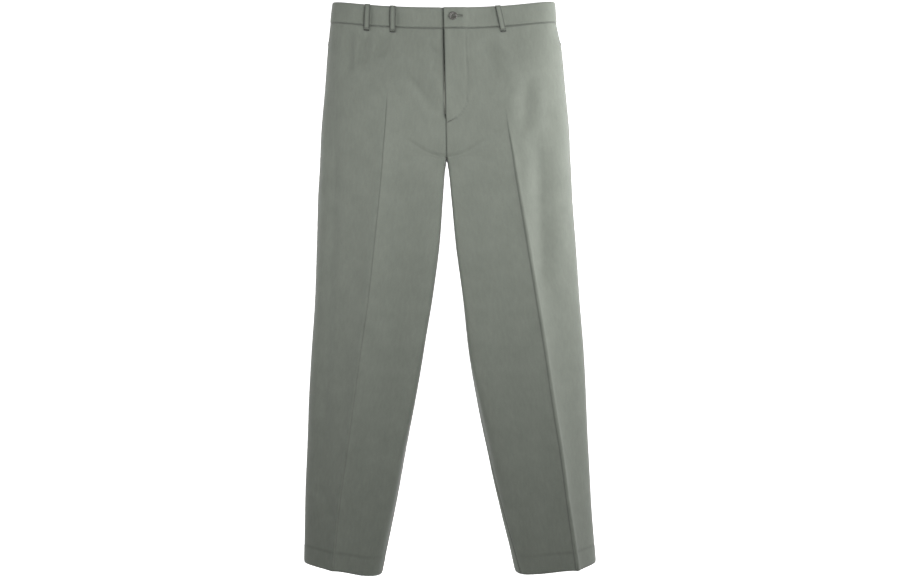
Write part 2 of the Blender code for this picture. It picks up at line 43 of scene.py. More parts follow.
# The cut, in millimetres: x is counted outwards from the centre line, and z = 0 is the top edge at centre front.
outline = {
    "z": [30, -20, -68, -143, -208, -275, -294, -347, -422, -533, -626, -729, -812, -905, -1042],
    "outerRight": [204.5, 211, 216.6, 223.9, 230.9, 235.5, 236.5, 239.5, 241.4, 245.1, 250.7, 256.3, 260, 263.7, 265.8],
    "innerRight": [0, 0, 0, 0, 0, 0.3, 2.8, 7, 13.5, 27.5, 42.4, 60, 75.8, 92.6, 119.8],
    "creaseRight": [99, 100, 102, 106, 111, 117.5, 119, 124, 132, 144.6, 158, 172, 183.3, 196.3, 209.5],
    "outerLeft": [207, 209.5, 217.7, 223.4, 227.6, 230.2, 231.3, 233.8, 239.4, 246.9, 254.3, 259.9, 265.4, 271, 282],
    "innerLeft": [0, 0, 0, 0, 0, 0.3, 2.9, 7.9, 15.3, 30.2, 40.4, 57.6, 73.9, 93.4, 124],
    "creaseLeft": [96, 98, 101, 106, 112, 122, 124.5, 133.3, 146, 164.2, 179.2, 194.5, 208, 220.4, 240],
}
depth = {  # front to back, how round the hips are, and how sharp the pressed creases are
    "z": [30, -38, -130, -200, -275, -347, -450, -626, -812, -1042],
    "frontY": [-56, -61, -86, -96, -99, -98, -94, -88, -80, -74],
    "backY": [60, 68, 97, 106, 99, 92, 85, 76, 71, 69],
    "sideY": [2, 2, 4, 5, 6, 5, 2, -2, -3, -2],
    "round": [13, 12, 9, 6, 2, 0, 0, 0, 0, 0],
    "frontPress": [0, 0, 0, 3, 14, 21, 25, 28, 30, 32],
    "backPress": [0, 0, 0, 2, 10, 16, 21, 24, 27, 30],
    "innerDrop": [14, 14, 14, 14, 14, 15, 18, 22, 25, 27],
    "corner": [7, 7, 7, 7, 7, 7, 9, 14, 22, 28],
}
turn = {  # how far the seams are turned round each leg, in degrees
    "z": [30, -200, -350, -626, -756, -885, -1042],
    "sideRight": [-4, -8, 0, 3, 6, 8, 12],
    "inseamRight": [0, -8, -6, -2, 1, 6, 12],
    "sideLeft": [-8, -9, -5, 5, 12, 20, 28],
    "inseamLeft": [0, -8, -8, 0, 8, 20, 35],
}
rise = {  # the centre seams, front and back, from the waist to the crotch
    "frontY": [-65, -67.5, -80, -89, -92, -91, -89, -87, -84, -70, 12],
    "frontZ": [0, -38, -88, -137, -181, -222, -252, -266, -272, -274.5, -275],
    "backY": [60, 67, 88, 106, 112, 103, 80, 46, 12],
    "backZ": [17, -21, -68, -120, -175, -224, -255, -270, -275],
}
lean = {  # the whole garment leans a little to its left, from the waist down
    "z": [30, 0, -208, -285, -1060],
    "x": [-1.8, -1.2, 3.4, 4.6, 4.6],
}
cut = {  # heights down the seams, and how many rows and columns of points each panel has
    "sideTop": 18.0,
    "bandHeight": 38.0,
    "crotchSide": -270.0,
    "hemOuter": -1018.5,
    "hemInnerLeft": -1036.0,
    "hemInnerRight": -1040.0,
    "bandRows": 14,
    "riseRows": 84,
    "legRows": 176,
    "legSpacing": 1.12,  # over 1, the leg's rows are closer together near the crotch
    "arcColumns": 50,
    "crowding": 0.74,  # how much closer together the columns are at seams and creases, 0 to 1
}


def smoothCurve(table, name, along="z"):
    # monotone cubic through the table, so nothing overshoots between its rows
    xs, ys = -np.array(table[along], float), np.array(table[name], float)
    steps = np.diff(xs)
    slopes = np.diff(ys) / steps
    tangents = np.zeros(len(xs))
    tangents[0], tangents[-1] = slopes[0], slopes[-1]
    for i in range(1, len(xs) - 1):
        if slopes[i - 1] * slopes[i] > 0:
            w0, w1 = 2 * steps[i] + steps[i - 1], steps[i] + 2 * steps[i - 1]
            tangents[i] = (w0 + w1) / (w0 / slopes[i - 1] + w1 / slopes[i])

    def value(z):
        x = min(max(-z, xs[0]), xs[-1])
        i = min(max(int(np.searchsorted(xs, x)) - 1, 0), len(xs) - 2)
        t = (x - xs[i]) / steps[i]
        low = (1 + 2 * t) * (1 - t) ** 2 * ys[i] + t * (1 - t) ** 2 * steps[i] * tangents[i]
        high = t * t * (3 - 2 * t) * ys[i + 1] - t * t * (1 - t) * steps[i] * tangents[i + 1]
        return float(low + high)

    return value


def smoothstep(low, high, value):
    t = np.clip((value - low) / (high - low), 0, 1)
    return t * t * (3 - 2 * t)


def bell(away, width):
    return np.exp(-((away / width) ** 2))


def lengthAlong(points, axis=0):
    run = np.cumsum(np.linalg.norm(np.diff(points, axis=axis), axis=-1), axis=axis)
    return np.concatenate([np.zeros_like(np.take(run, [0], axis=axis)), run], axis=axis)


def atShares(points, shares):
    along = lengthAlong(points)
    wanted = np.asarray(shares) * along[-1]
    return np.stack([np.interp(wanted, along, axis) for axis in points.T], axis=1)


def roundedPath(points):
    points = np.asarray(points, float)
    padded = np.vstack([2 * points[0] - points[1], points, 2 * points[-1] - points[-2]])
    path = []
    for a, b, c, d in zip(padded, padded[1:], padded[2:], padded[3:]):
        for t in np.linspace(0, 1, 40, endpoint=False):
            path.append(b + 0.5 * t * (c - a + t * (2 * a - 5 * b + 4 * c - d + t * (3 * (b - c) + d - a))))
    path.append(points[-1])
    return np.array(path)

def crowded(shares):
    return shares - cut["crowding"] * np.sin(2 * np.pi * shares) / (2 * np.pi)


curves = {name: smoothCurve(table, name) for table in (outline, depth, turn) for name in table if name != "z"}
evenShares = np.linspace(0, 1, cut["arcColumns"] + 1)
columnShares = crowded(evenShares)
frontCreaseColumn, sideColumn, backCreaseColumn, lastColumn = (part * cut["arcColumns"] for part in (1, 2, 3, 4))
panelColumns = {"front": slice(0, sideColumn + 1), "back": slice(sideColumn, lastColumn + 1)}
seamRow = cut["bandRows"]
crotchRow = seamRow + cut["riseRows"]


def heading(degrees, reach, climb):
    return np.array([math.cos(math.radians(degrees)) * reach, math.sin(math.radians(degrees)) * reach, climb / 3])


def bezier(start, end, leave, arrive, climb):
    reach = 0.39 * np.linalg.norm((end - start)[:2])
    a, b = start + heading(leave, reach, climb[0]), end - heading(arrive, reach, climb[1])
    t = np.linspace(0, 1, 161)[:, None]
    return (1 - t) ** 3 * start + 3 * t * (1 - t) ** 2 * a + 3 * t * t * (1 - t) * b + t**3 * end


def arcOf(start, end, leave, arrive, climb):
    return atShares(bezier(start, end, leave, arrive, climb), columnShares)


def boxedArc(start, corner, end, arrive, climb, rounding):
    # from the inside leg forward to a rounded corner, then flat across to the crease, with columns close at the corner
    curve = bezier(corner, end, 0, arrive, climb)
    wall = np.linalg.norm(corner - start)
    if wall <= 0.5:
        return atShares(curve, columnShares)
    radius = min(rounding, 0.9 * wall)
    far = lengthAlong(curve)
    first = corner + (start - corner) * (radius / wall)
    last = np.array([np.interp(radius, far, axis) for axis in curve.T])
    t = np.linspace(0, 1, 24)[:, None]
    fillet = (1 - t) ** 2 * first + 2 * t * (1 - t) * corner + t * t * last
    curve = np.vstack([start, fillet, curve[far > radius]])
    share = wall / lengthAlong(curve)[-1]
    onWall = share * crowded(np.clip(evenShares / share, 0, 1))
    onFront = share + (1 - share) * crowded(np.clip((evenShares - share) / (1 - share), 0, 1))
    return atShares(curve, np.where(evenShares < share, onWall, onFront))


def ringOf(side, front, back, sideZ, down):
    # one row round a leg, or round half the hips: front centre, front crease, side seam, back crease, back centre
    outer, inner, creaseAt = curves["outer" + side], curves["inner" + side], curves["crease" + side]
    half = (outer(sideZ) - inner(sideZ)) / 2
    sideTurn = curves["side" + side](sideZ)
    swing = math.radians(sideTurn)
    sidePoint = np.array([
        outer(sideZ) - half * (1 - math.cos(swing)), curves["sideY"](sideZ) + half * math.sin(swing) * 0.9, sideZ
    ])
    follow = 0.3 + 0.5 * smoothstep(0.45, 0, down)
    frontZ, backZ = sideZ + follow * (front[1] - sideZ), sideZ + follow * (back[1] - sideZ)
    middle = (outer(frontZ) + inner(frontZ)) / 2
    crease = creaseAt(frontZ)
    twist = math.degrees(math.atan2(crease - middle, 90))
    frontCrease = np.array([crease, curves["frontY"](frontZ), frontZ])
    backCrease = np.array([2 * middle - crease, curves["backY"](backZ), backZ])
    frontTurn = twist + curves["round"](frontZ)
    backTurn = 180 + twist - curves["round"](backZ)
    # the inner half of a front stays flat almost to the crotch and the inner thigh, and turns sharply there
    plane = frontCrease[1] + curves["innerDrop"](frontZ)
    if down <= 1:
        start, end = np.array([0.0, *front]), np.array([0.0, *back])
        corner = np.array([0.0, min(front[0], plane), front[1]])
        arrive = 180 + 82 * smoothstep(0.6, 1, down)
    else:
        innerZ = front[1]
        inseamTurn = math.radians(curves["inseam" + side](innerZ))
        start = end = np.array([
            inner(innerZ) + half * (1 - math.cos(inseamTurn)), front[0] - half * math.sin(inseamTurn) * 0.9, innerZ
        ])
        tilt = max(inseamTurn, 0)
        corner = start + np.array([math.tan(tilt) * (start[1] - plane), plane - start[1], 0])
        arrive = 270 + math.degrees(tilt)
    frontPress, backPress = curves["frontPress"](frontZ), curves["backPress"](backZ)
    frontClimb, sideClimb, backClimb = (sideZ - front[1]) / 2, (backZ - frontZ) / 2, (back[1] - sideZ) / 2
    arcs = [
        boxedArc(start, corner, frontCrease, frontTurn - frontPress, (0, frontClimb), curves["corner"](frontZ)),
        arcOf(frontCrease, sidePoint, frontTurn + frontPress, 90 + sideTurn, (frontClimb, sideClimb)),
        arcOf(sidePoint, backCrease, 90 + sideTurn, backTurn - backPress, (sideClimb, backClimb)),
        arcOf(backCrease, end, backTurn + backPress, arrive, (backClimb, 0)),
    ]
    return np.vstack([arcs[0]] + [one[1:] for one in arcs[1:]])


def rowPlan(side):
    # each row: front centre (y, z), back centre (y, z), side seam z, and the share down the rise, over 1 on the leg
    front = np.stack([rise["frontY"], rise["frontZ"]], axis=1).astype(float)
    back = np.stack([rise["backY"], rise["backZ"]], axis=1).astype(float)
    bandShares, riseShares = np.linspace(0, 1, cut["bandRows"] + 1), np.linspace(0, 1, cut["riseRows"] + 1)
    frontBand, backBand = atShares(front[:2], bandShares), atShares(back[:2], bandShares)
    frontRise, backRise = atShares(roundedPath(front[1:]), riseShares), atShares(roundedPath(back[1:]), riseShares)
    bandSide = cut["sideTop"] - cut["bandHeight"] * bandShares
    plan = [(frontBand[k], backBand[k], bandSide[k], 0.0) for k in range(seamRow)]
    sideSeam = cut["sideTop"] - cut["bandHeight"]
    riseSide = sideSeam + (cut["crotchSide"] - sideSeam) * riseShares
    plan += list(zip(frontRise, backRise, riseSide, riseShares))
    crotchY, crotchZ = front[-1]
    for k in range(1, cut["legRows"] + 1):
        t = (k / cut["legRows"]) ** cut["legSpacing"]
        point = np.array([crotchY * (1 - t), crotchZ + (cut["hemInner" + side] - crotchZ) * t])
        plan.append((point, point, cut["crotchSide"] + (cut["hemOuter"] - cut["crotchSide"]) * t, 2.0))
    return plan


def outwardOf(grid):
    across = np.empty_like(grid)
    across[:, 1:-1] = grid[:, 2:] - grid[:, :-2]
    across[:, 0] = grid[:, 1] - grid[:, 0]
    across[:, -1] = grid[:, -1] - grid[:, -2]
    across[crotchRow:, 0] = across[crotchRow:, -1] = grid[crotchRow:, 1] - grid[crotchRow:, -2]
    down = np.empty_like(grid)
    down[1:-1] = grid[2:] - grid[:-2]
    down[0], down[-1] = grid[1] - grid[0], grid[-1] - grid[-2]
    found = np.cross(down, across)
    return found / np.maximum(np.linalg.norm(found, axis=2, keepdims=True), 1e-9)

# Soft troughs, each from its first point to its last, read off the photograph where it shows them and guessed behind.
folds = {  # points (x, z), half-width, depth; a negative depth is a ridge; uneven on purpose
    "frontRight": [
        ([(205, -70), (207, -316), (214, -520), (224, -740), (231, -900)], 9, 3.0),
        ([(94, -260), (80, -400), (92, -620), (116, -820)], 30, 4.2),
        ([(172, -34), (174, -84), (178, -130)], 8, 5.0),
        ([(143, -34), (147, -76), (153, -112)], 8, 4.6),
        ([(112, -36), (116, -64), (124, -96)], 9, 3.0),
        ([(88, -92), (44, -140), (6, -196)], 13, 5.4),
        ([(30, -56), (14, -72), (2, -84)], 7, 2.6),
        ([(26, -104), (12, -118), (2, -134)], 6, 2.4),
        ([(234, -866), (220, -902), (203, -938)], 10, 2.6),
    ],
    "frontLeft": [
        ([(168, -215), (171, -380), (178, -560)], 13, 4.6),
        ([(206, -110), (209, -320), (214, -530)], 10, -1.8),
        ([(149, -120), (146, -180), (140, -240)], 12, 2.4),
        ([(60, -60), (84, -90), (96, -140)], 14, 2.4),
    ],
    "backRight": [
        ([(18, -318), (84, -352), (152, -374)], 15, 3.4),
        ([(30, -374), (98, -400), (172, -412)], 13, 2.4),
        ([(90, -600), (150, -630), (216, -646)], 16, 2.6),
        ([(200, -190), (208, -300), (214, -422)], 14, 2.8),
    ],
    "backLeft": [
        ([(18, -314), (80, -350), (148, -378)], 15, 3.6),
        ([(34, -382), (100, -398), (170, -406)], 12, 2.2),
        ([(88, -612), (150, -640), (214, -650)], 16, 2.6),
        ([(198, -180), (206, -310), (210, -442)], 14, 3.0),
    ],
}
flyCut = {"width": 40.0, "bendZ": -160.0, "drop": 48.0, "length": 208.0, "proud": 1.8, "gap": 2.2}
flySew = {"width": 41.0, "bendZ": -160.0, "drop": 50.0, "groove": 0.3}
creaseFin = {  # how far the pressed edge stands out, in millimetres, and how quickly its two flanks flare away
    "z": [30, -150, -185, -205, -240, -400, -700, -1042],
    "frontLeft": [0, 0, 0, 0.3, 2.0, 3.4, 4.4, 4.4],
    "frontRight": [0, 0, 0.9, 1.7, 2.3, 2.5, 2.0, 1.8],
    "backLeft": [0, 0, 0, 0.1, 0.4, 1.6, 2.4, 2.6],
    "backRight": [0, 0, 0, 0.1, 0.4, 1.5, 2.2, 2.4],
    # how strong the painted shade beside each front crease and the painted highlight on its ridge are, 0 to 1
    "pressedLeft": [0, 0, 0, 0.25, 0.7, 0.65, 0.55, 0.5],
    "pressedRight": [0, 0, 0.55, 0.7, 0.7, 0.6, 0.35, 0.25],
    "innerFlare": 5.0,
    "outerFlare": 15.0,
    "edge": 0.35,
}
dartCut = {"length": 96.0, "dip": 0.6, "flank": 0.25}
hemCut = {"turnUp": 33.5, "wall": 2.2, "step": 0.35, "stitchDip": 0.28}
wallCut = {"cloth": 1.3, "pocketLip": 0.8, "pocketTop": -48.0, "pocketBottom": -212.0}
seamCut = {"dip": 0.5, "flank": 0.18, "waistDip": 0.5, "puckerReach": 7.0, "gatherReach": 12.0}
waves = {  # (length across, length down, size, phase): fixed sums of waves, so every run gives the same cloth
    "uneven": [(310, 420, 0.35, 0.4), (190, -260, 0.3, 2.1), (97, 340, 0.22, 4.0), (61, -150, 0.12, 1.0)],
    "pucker": [(900, 17, 0.16, 0.3), (700, 29, 0.14, 2.2), (800, 11, 0.08, 4.4)],
    "gather": [(23, 900, 0.2, 0.2), (37, 800, 0.2, 1.7)],
}
paintedShadeAndHighlightLevels = {  # painted shade along seams, stitch lines, the fly opening and the band's foot and ends, and a painted highlight on the front crease, 0 to 1
    "seam": 0.8,
    "waistSeam": 0.5,
    "hemStitch": 0.25,
    "flyStitch": 0.3,
    "flyOpening": 0.95,
    "creaseHighlight": 0.5,
    "bandFoot": 0.4,
    "bandEndLeft": (0.5, 1.3),
    "bandEndRight": (0.85, 3.2),
}


def foldDepth(points, path, width):
    # how deep each point lies in one fold, fading out at both ends
    path = atShares(roundedPath(path), np.linspace(0, 1, 25))
    best = np.full(points.shape[:2], 1e9)
    share = np.zeros(points.shape[:2])
    for i in range(len(path) - 1):
        line = path[i + 1] - path[i]
        t = np.clip(((points - path[i]) @ line) / (line @ line), 0, 1)
        away = np.linalg.norm(points - path[i] - t[..., None] * line, axis=2)
        nearer = away < best
        best[nearer] = away[nearer]
        share[nearer] = (i + t[nearer]) / (len(path) - 1)
    fade = smoothstep(0, 0.26, share) * smoothstep(1, 0.74, share)
    return fade * (bell(best, width) - 0.3 * bell(best - 2.1 * width, 0.8 * width))


def ripple(points, name):
    total = np.zeros(points.shape[:2])
    for across, down, size, phase in waves[name]:
        total += size * np.sin(2 * np.pi * (points[..., 0] / across + points[..., 2] / down) + phase)
    return total


def hookedLine(shape, z):
    # the fly's edge or its stitching: straight down, then curved in to the centre
    below = np.clip(shape["bendZ"] - z, 0, shape["drop"]) / shape["drop"]
    return shape["width"] * np.sqrt(np.clip(1 - below**2, 0, 1))


def dressFly(side, grid, shift, worn):
    # shift and the painted shade and highlight are views of the front's own columns, changed in place
    x, z, foot = grid[..., 0], grid[..., 2], -flyCut["length"]
    if side == "Left":
        shift += flyCut["proud"] * (smoothstep(5, -4, x - hookedLine(flyCut, z)) * smoothstep(foot - 12, foot + 16, z))
        # the seam of the fly facing presses a shallow line into the front, with painted shade along it
        away, low = x - hookedLine(flySew, z), flySew["bendZ"] - flySew["drop"]
        onFly = smoothstep(low - 2, low + 6, z)
        shift -= flySew["groove"] * onFly * bell(away, 1.3)
        worn[:] = np.maximum(worn, paintedShadeAndHighlightLevels["flyStitch"] * onFly * bell(away, 1.6))
    else:
        # under the fly's edge the other front falls away a little, which leaves the line of the opening, and painted
        # shade makes that line dark
        opening = smoothstep(foot - 2, foot + 10, z) * smoothstep(-38, -42, z)
        shift -= flyCut["gap"] * opening * bell(x, 3.2)
        worn[:] = np.maximum(worn, paintedShadeAndHighlightLevels["flyOpening"] * opening * bell(x, 4.0))


def dressed(side, grid, normals):
    # distances along the cloth from each seam
    along, fallen = lengthAlong(grid, 1), lengthAlong(grid, 0)
    fromSide = np.abs(along - along[:, sideColumn, None])
    nearest = np.minimum(fromSide, np.minimum(along, along[:, -1:] - along))
    fromHem = fallen[-1] - fallen
    fromBand = np.maximum(fallen - fallen[seamRow], 0)
    shift = np.zeros(grid.shape[:2])
    for panel, columns in panelColumns.items():
        for path, width, size in folds[panel + side]:
            shift[:, columns] -= size * foldDepth(grid[:, columns][:, :, [0, 2]], path, width)
    shift += ripple(grid, "uneven")
    shift *= smoothstep(0, 16, nearest)
    shift *= smoothstep(0, 14, fromBand)
    # the pressed creases stand out as sharp edges
    creaseZ = -np.array(creaseFin["z"], float)
    for name, column in (("front", frontCreaseColumn), ("back", backCreaseColumn)):
        away = along - along[:, column, None]
        inwards = away < 0 if name == "front" else away > 0
        flare = np.where(inwards, creaseFin["innerFlare"], creaseFin["outerFlare"])
        stands = np.interp(-grid[:, column, 2], creaseZ, creaseFin[name + side])[:, None]
        shift += stands * np.exp(-(np.hypot(away, creaseFin["edge"]) - creaseFin["edge"]) / flare)
    # sewing draws the seams in and puckers the cloth beside them
    shift += ripple(grid, "pucker") * np.exp(-nearest / seamCut["puckerReach"]) * smoothstep(0, 3, nearest)
    shift -= seamCut["dip"] * bell(nearest, 1.5)
    shift += seamCut["flank"] * bell(nearest - 6, 4)
    shift += ripple(grid, "gather") * np.exp(-fromBand / seamCut["gatherReach"]) * smoothstep(0, 5, fromBand)
    shift -= seamCut["waistDip"] * bell(fromBand, 1.6) * (np.arange(len(grid)) >= seamRow)[:, None]
    # the turned-up hem prints through
    shift += hemCut["step"] * smoothstep(hemCut["turnUp"] + 2.5, hemCut["turnUp"] - 2.5, fromHem)
    shift -= hemCut["stitchDip"] * bell(fromHem - hemCut["turnUp"], 1.4)
    shift[: seamRow + 1] = 0
    # painted shade along the seams, the waist seam and the hem stitching, and beside the front crease, with a painted
    # highlight on the crease itself
    worn = paintedShadeAndHighlightLevels["seam"] * bell(nearest, 1.3) * (fromBand > 0)
    worn = np.maximum(worn, paintedShadeAndHighlightLevels["waistSeam"] * bell(fromBand, 1.3))
    worn = np.maximum(worn, paintedShadeAndHighlightLevels["hemStitch"] * bell(fromHem - hemCut["turnUp"], 1.5))
    beside = along - along[:, frontCreaseColumn, None]
    pressed = np.interp(-grid[:, frontCreaseColumn, 2], creaseZ, creaseFin["pressed" + side])[:, None]
    worn = np.maximum(worn, pressed * bell(beside + 2.1, 1.2))
    worn = worn - paintedShadeAndHighlightLevels["creaseHighlight"] * pressed * bell(beside - 0.4, 1.0)
    front = panelColumns["front"]
    dressFly(side, grid[:, front], shift[:, front], worn[:, front])
    # a dart runs down the middle of each back, from the waist seam
    beside = np.abs(along - along[:, backCreaseColumn, None])
    inDart = smoothstep(dartCut["length"], dartCut["length"] * 0.7, fromBand) * (fromBand > 0.5)
    shift -= dartCut["dip"] * inDart * bell(beside, 1.4)
    shift += dartCut["flank"] * inDart * bell(beside - 6, 4)
    # the front lip of each side pocket stands a little open
    z, top, bottom = grid[:, front, 2], wallCut["pocketTop"], wallCut["pocketBottom"]
    mouth = smoothstep(top, top - 14, z) * smoothstep(bottom, bottom + 18, z)
    shift[:, front] += wallCut["pocketLip"] * mouth * np.exp(-fromSide[:, front] / 5)
    shaped = grid + normals * shift[..., None]
    shaped[: crotchRow + 1, [0, -1], 0] = 0
    return shaped, fromHem, worn


surfaces = {}  # each half: points and outward directions, rows from the waist down, columns round from front centre
for side in ("Left", "Right"):
    flatGrid = np.array([ringOf(side, *row) for row in rowPlan(side)])
    flatGrid[..., 0] = np.maximum(flatGrid[..., 0], 0)
    outward = outwardOf(flatGrid)
    shaped, fromHem, worn = dressed(side, flatGrid, outward)
    shapedOut = outwardOf(shaped) * 0.6 + outward * 0.4
    shapedOut /= np.linalg.norm(shapedOut, axis=2, keepdims=True)
    # the last entry holds the painted shade and highlight for the cloth
    surfaces[side] = {"points": shaped, "outward": shapedOut, "fromHem": fromHem, "worn": worn}
print("surfaces shaped:", surfaces["Left"]["points"].shape)


def toSide(side, points):
    return points * np.array([1 if side == "Left" else -1, 1, 1])


def leant(points):
    moved = np.array(points, float)
    moved[..., 0] += np.interp(-moved[..., 2], -np.array(lean["z"], float), lean["x"])
    return moved


def feed(socket, value):
    # another node's output is linked in; anything else is the socket's own value
    if isinstance(value, bpy.types.NodeSocket):
        socket.id_data.links.new(value, socket)
    else:
        socket.default_value = value


def addNode(tree, kind, **values):
    made = tree.nodes.new(kind)
    for key, value in values.items():
        socket = key.replace("_", " ")
        if hasattr(made, key) and socket not in made.inputs:
            setattr(made, key, value)
        else:
            feed(made.inputs[socket], value)
    return made


def mathNode(tree, operation, first, second):
    made = addNode(tree, "ShaderNodeMath", operation=operation)
    feed(made.inputs[0], first)
    feed(made.inputs[1], second)
    return made.outputs["Value"]


def newMaterial(name, colour, roughness, **sockets):
    made = bpy.data.materials.new(name)
    made.use_nodes = True
    shader = made.node_tree.nodes["Principled BSDF"]
    sockets.update(Base_Color=(*colour, 1), Roughness=roughness)
    for key, value in sockets.items():
        feed(shader.inputs[key.replace("_", " ")], value)
    return made, made.node_tree, shader


def clothPlace(tree):
    return addNode(tree, "ShaderNodeUVMap", uv_map="cloth").outputs["UV"]


def objectPlace(tree):
    return addNode(tree, "ShaderNodeTexCoord").outputs["Object"]


def noise(tree, place, scale=1.0, stretch=None, turned=(0, 0, 0), **values):
    if stretch:
        place = addNode(tree, "ShaderNodeMapping", Vector=place, Scale=stretch, Rotation=turned).outputs["Vector"]
    return addNode(tree, "ShaderNodeTexNoise", Vector=place, Scale=scale, **values).outputs["Fac"]


def mapped(tree, value, **limits):
    return addNode(tree, "ShaderNodeMapRange", Value=value, **limits).outputs["Result"]


def mixedColours(tree, factor, first, second):
    made = addNode(tree, "ShaderNodeMix", data_type="RGBA", Factor=factor, A=(*first, 1), B=(*second, 1))
    return made.outputs["Result"]


def darkenedBy(tree, colour, factor, low, high, start=0.0):
    share = mapped(tree, factor, From_Min=start, To_Min=low, To_Max=high)
    made = addNode(tree, "ShaderNodeMix", data_type="RGBA", blend_type="MULTIPLY", Factor=1, A=colour, B=share)
    return made.outputs["Result"]


def finished(tree, shader, colour, height=None, strength=0.0, distance=0.0):
    feed(shader.inputs["Base Color"], colour)
    if height:
        bump = addNode(tree, "ShaderNodeBump", Strength=strength, Distance=distance, Height=height)
        feed(shader.inputs["Normal"], bump.outputs["Normal"])


worsted = {
    "dark": (0.145, 0.159, 0.136),
    "light": (0.183, 0.200, 0.171),
    "roughness": 0.82,
    "sheen": 0.22,
    "twill": 0.0009,  # metres from one diagonal line to the next
    "bump": 0.16,
    # how strongly the painted shade darkens the cloth and the painted highlight lightens it
    "paintedShadeAndHighlightDepth": 0.68,
}
pocketing = {"dark": (0.52, 0.51, 0.45), "light": (0.66, 0.65, 0.6), "roughness": 0.9, "sheen": 0.1, "bump": 0.25}
horn = {"dark": (0.045, 0.044, 0.039), "light": (0.12, 0.117, 0.105), "roughness": 0.34, "coat": 0.15}
tape = {"dark": (0.15, 0.16, 0.135), "light": (0.22, 0.23, 0.2), "roughness": 0.75, "sheen": 0.1, "bump": 0.4}
nickel = {"colour": (0.5, 0.48, 0.43), "polished": 0.26, "scuffed": 0.5}


def worstedCloth(name, settings):
    # a fine grey-green twill: mixed fibres, a diagonal line in the weave, soft large unevenness, then painted shade and
    # a painted crease highlight read from a point attribute
    made, tree, shader = newMaterial(
        name, settings["light"], settings["roughness"],
        Sheen_Weight=settings["sheen"], Sheen_Roughness=0.45, Specular_IOR_Level=0.25,
    )
    place = clothPlace(tree)
    warp = noise(tree, place, stretch=(2600, 380, 1), Detail=2.0, Roughness=0.6)
    weft = noise(tree, place, stretch=(300, 2300, 1), Detail=2.0, Roughness=0.6)
    fibres = mapped(tree, mathNode(tree, "ADD", warp, weft), From_Min=0.62, From_Max=1.38)
    cloud = noise(tree, place, 26.0, Detail=4.0, Roughness=0.55)
    mottle = noise(tree, place, stretch=(190, 60, 1), Detail=3.0, Roughness=0.6)
    # painted shade along seams, edges and loops, and a painted highlight on the crease, carried as a point attribute
    paintedShadeAndHighlightValue = addNode(tree, "ShaderNodeAttribute", attribute_name="worn").outputs["Fac"]
    colour = mixedColours(tree, fibres, settings["dark"], settings["light"])
    colour = darkenedBy(tree, colour, cloud, 0.86, 1.14)
    colour = darkenedBy(tree, colour, mottle, 0.88, 1.12)
    colour = darkenedBy(tree, colour, paintedShadeAndHighlightValue, 1 + 0.4 * settings["paintedShadeAndHighlightDepth"], 1 - settings["paintedShadeAndHighlightDepth"], -0.4)
    twill = addNode(
        tree, "ShaderNodeTexWave", bands_direction="DIAGONAL", Vector=place, Distortion=0.6, Detail=1.0,
        Scale=2 * math.pi / (10 * settings["twill"]),
    )
    height = mathNode(tree, "ADD", twill.outputs["Fac"], fibres)
    finished(tree, shader, colour, height, settings["bump"], 0.00012)
    return made


def cottonPocketing(name, settings):
    made, tree, shader = newMaterial(name, (0.6, 0.59, 0.53), settings["roughness"], Sheen_Weight=settings["sheen"])
    place = clothPlace(tree)
    weave = addNode(
        tree, "ShaderNodeTexWave", bands_direction="DIAGONAL", Vector=place, Scale=700.0, Distortion=0.4
    )
    colour = mixedColours(tree, noise(tree, place, 240.0, Detail=3.0), settings["dark"], settings["light"])
    finished(tree, shader, colour, weave.outputs["Fac"], settings["bump"], 0.00015)
    return made


def sewingThread(name, colour):
    made, tree, shader = newMaterial(name, colour, 0.6, Sheen_Weight=0.2)
    ply = noise(tree, objectPlace(tree), 2400.0, Detail=1.0)
    dark, light = tuple(c * 0.75 for c in colour), tuple(min(1, c * 1.2) for c in colour)
    finished(tree, shader, mixedColours(tree, ply, dark, light))
    return made


def hornButton(name, settings):
    # dark, slightly streaked moulded plastic
    made, tree, shader = newMaterial(
        name, (0.1, 0.095, 0.075), settings["roughness"], Coat_Weight=settings["coat"]
    )
    place = objectPlace(tree)
    streak = noise(tree, place, stretch=(60, 200, 420), turned=(0.2, 0.5, 0.3), Detail=4.0, Distortion=0.8)
    finished(tree, shader, mixedColours(tree, streak, settings["dark"], settings["light"]))
    return made


def zipTapeCloth(name, settings):
    made, tree, shader = newMaterial(name, (0.19, 0.2, 0.17), settings["roughness"], Sheen_Weight=settings["sheen"])
    ribs = addNode(tree, "ShaderNodeTexWave", bands_direction="Z", Vector=objectPlace(tree), Scale=260.0)
    colour = mixedColours(tree, ribs.outputs["Fac"], settings["dark"], settings["light"])
    finished(tree, shader, colour, ribs.outputs["Fac"], settings["bump"], 0.0002)
    return made


def satinMetal(name, settings):
    made, tree, shader = newMaterial(name, settings["colour"], 0.34, Metallic=1.0)
    scuffs = noise(tree, objectPlace(tree), 900.0, Detail=5.0)
    feed(shader.inputs["Roughness"], mapped(tree, scuffs, To_Min=settings["polished"], To_Max=settings["scuffed"]))
    return made


looks = {
    "cloth": worstedCloth("greenGreyWorsted", worsted),
    "pocketing": cottonPocketing("cottonPocketing", pocketing),
    "thread": sewingThread("matchedThread", (0.125, 0.138, 0.115)),
    "holeThread": sewingThread("buttonholeThread", (0.1, 0.108, 0.09)),
    "button": hornButton("hornButton", horn),
    "zipTape": zipTapeCloth("zipTape", tape),
    "metal": satinMetal("satinNickel", nickel),
}
print("materials made:", len(looks))


def newObject(name, data):
    made = bpy.data.objects.new(name, data)
    bpy.context.scene.collection.objects.link(made)
    return made


def standsFor(piece, node):
    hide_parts(node)
    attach(piece, "root")
    return piece


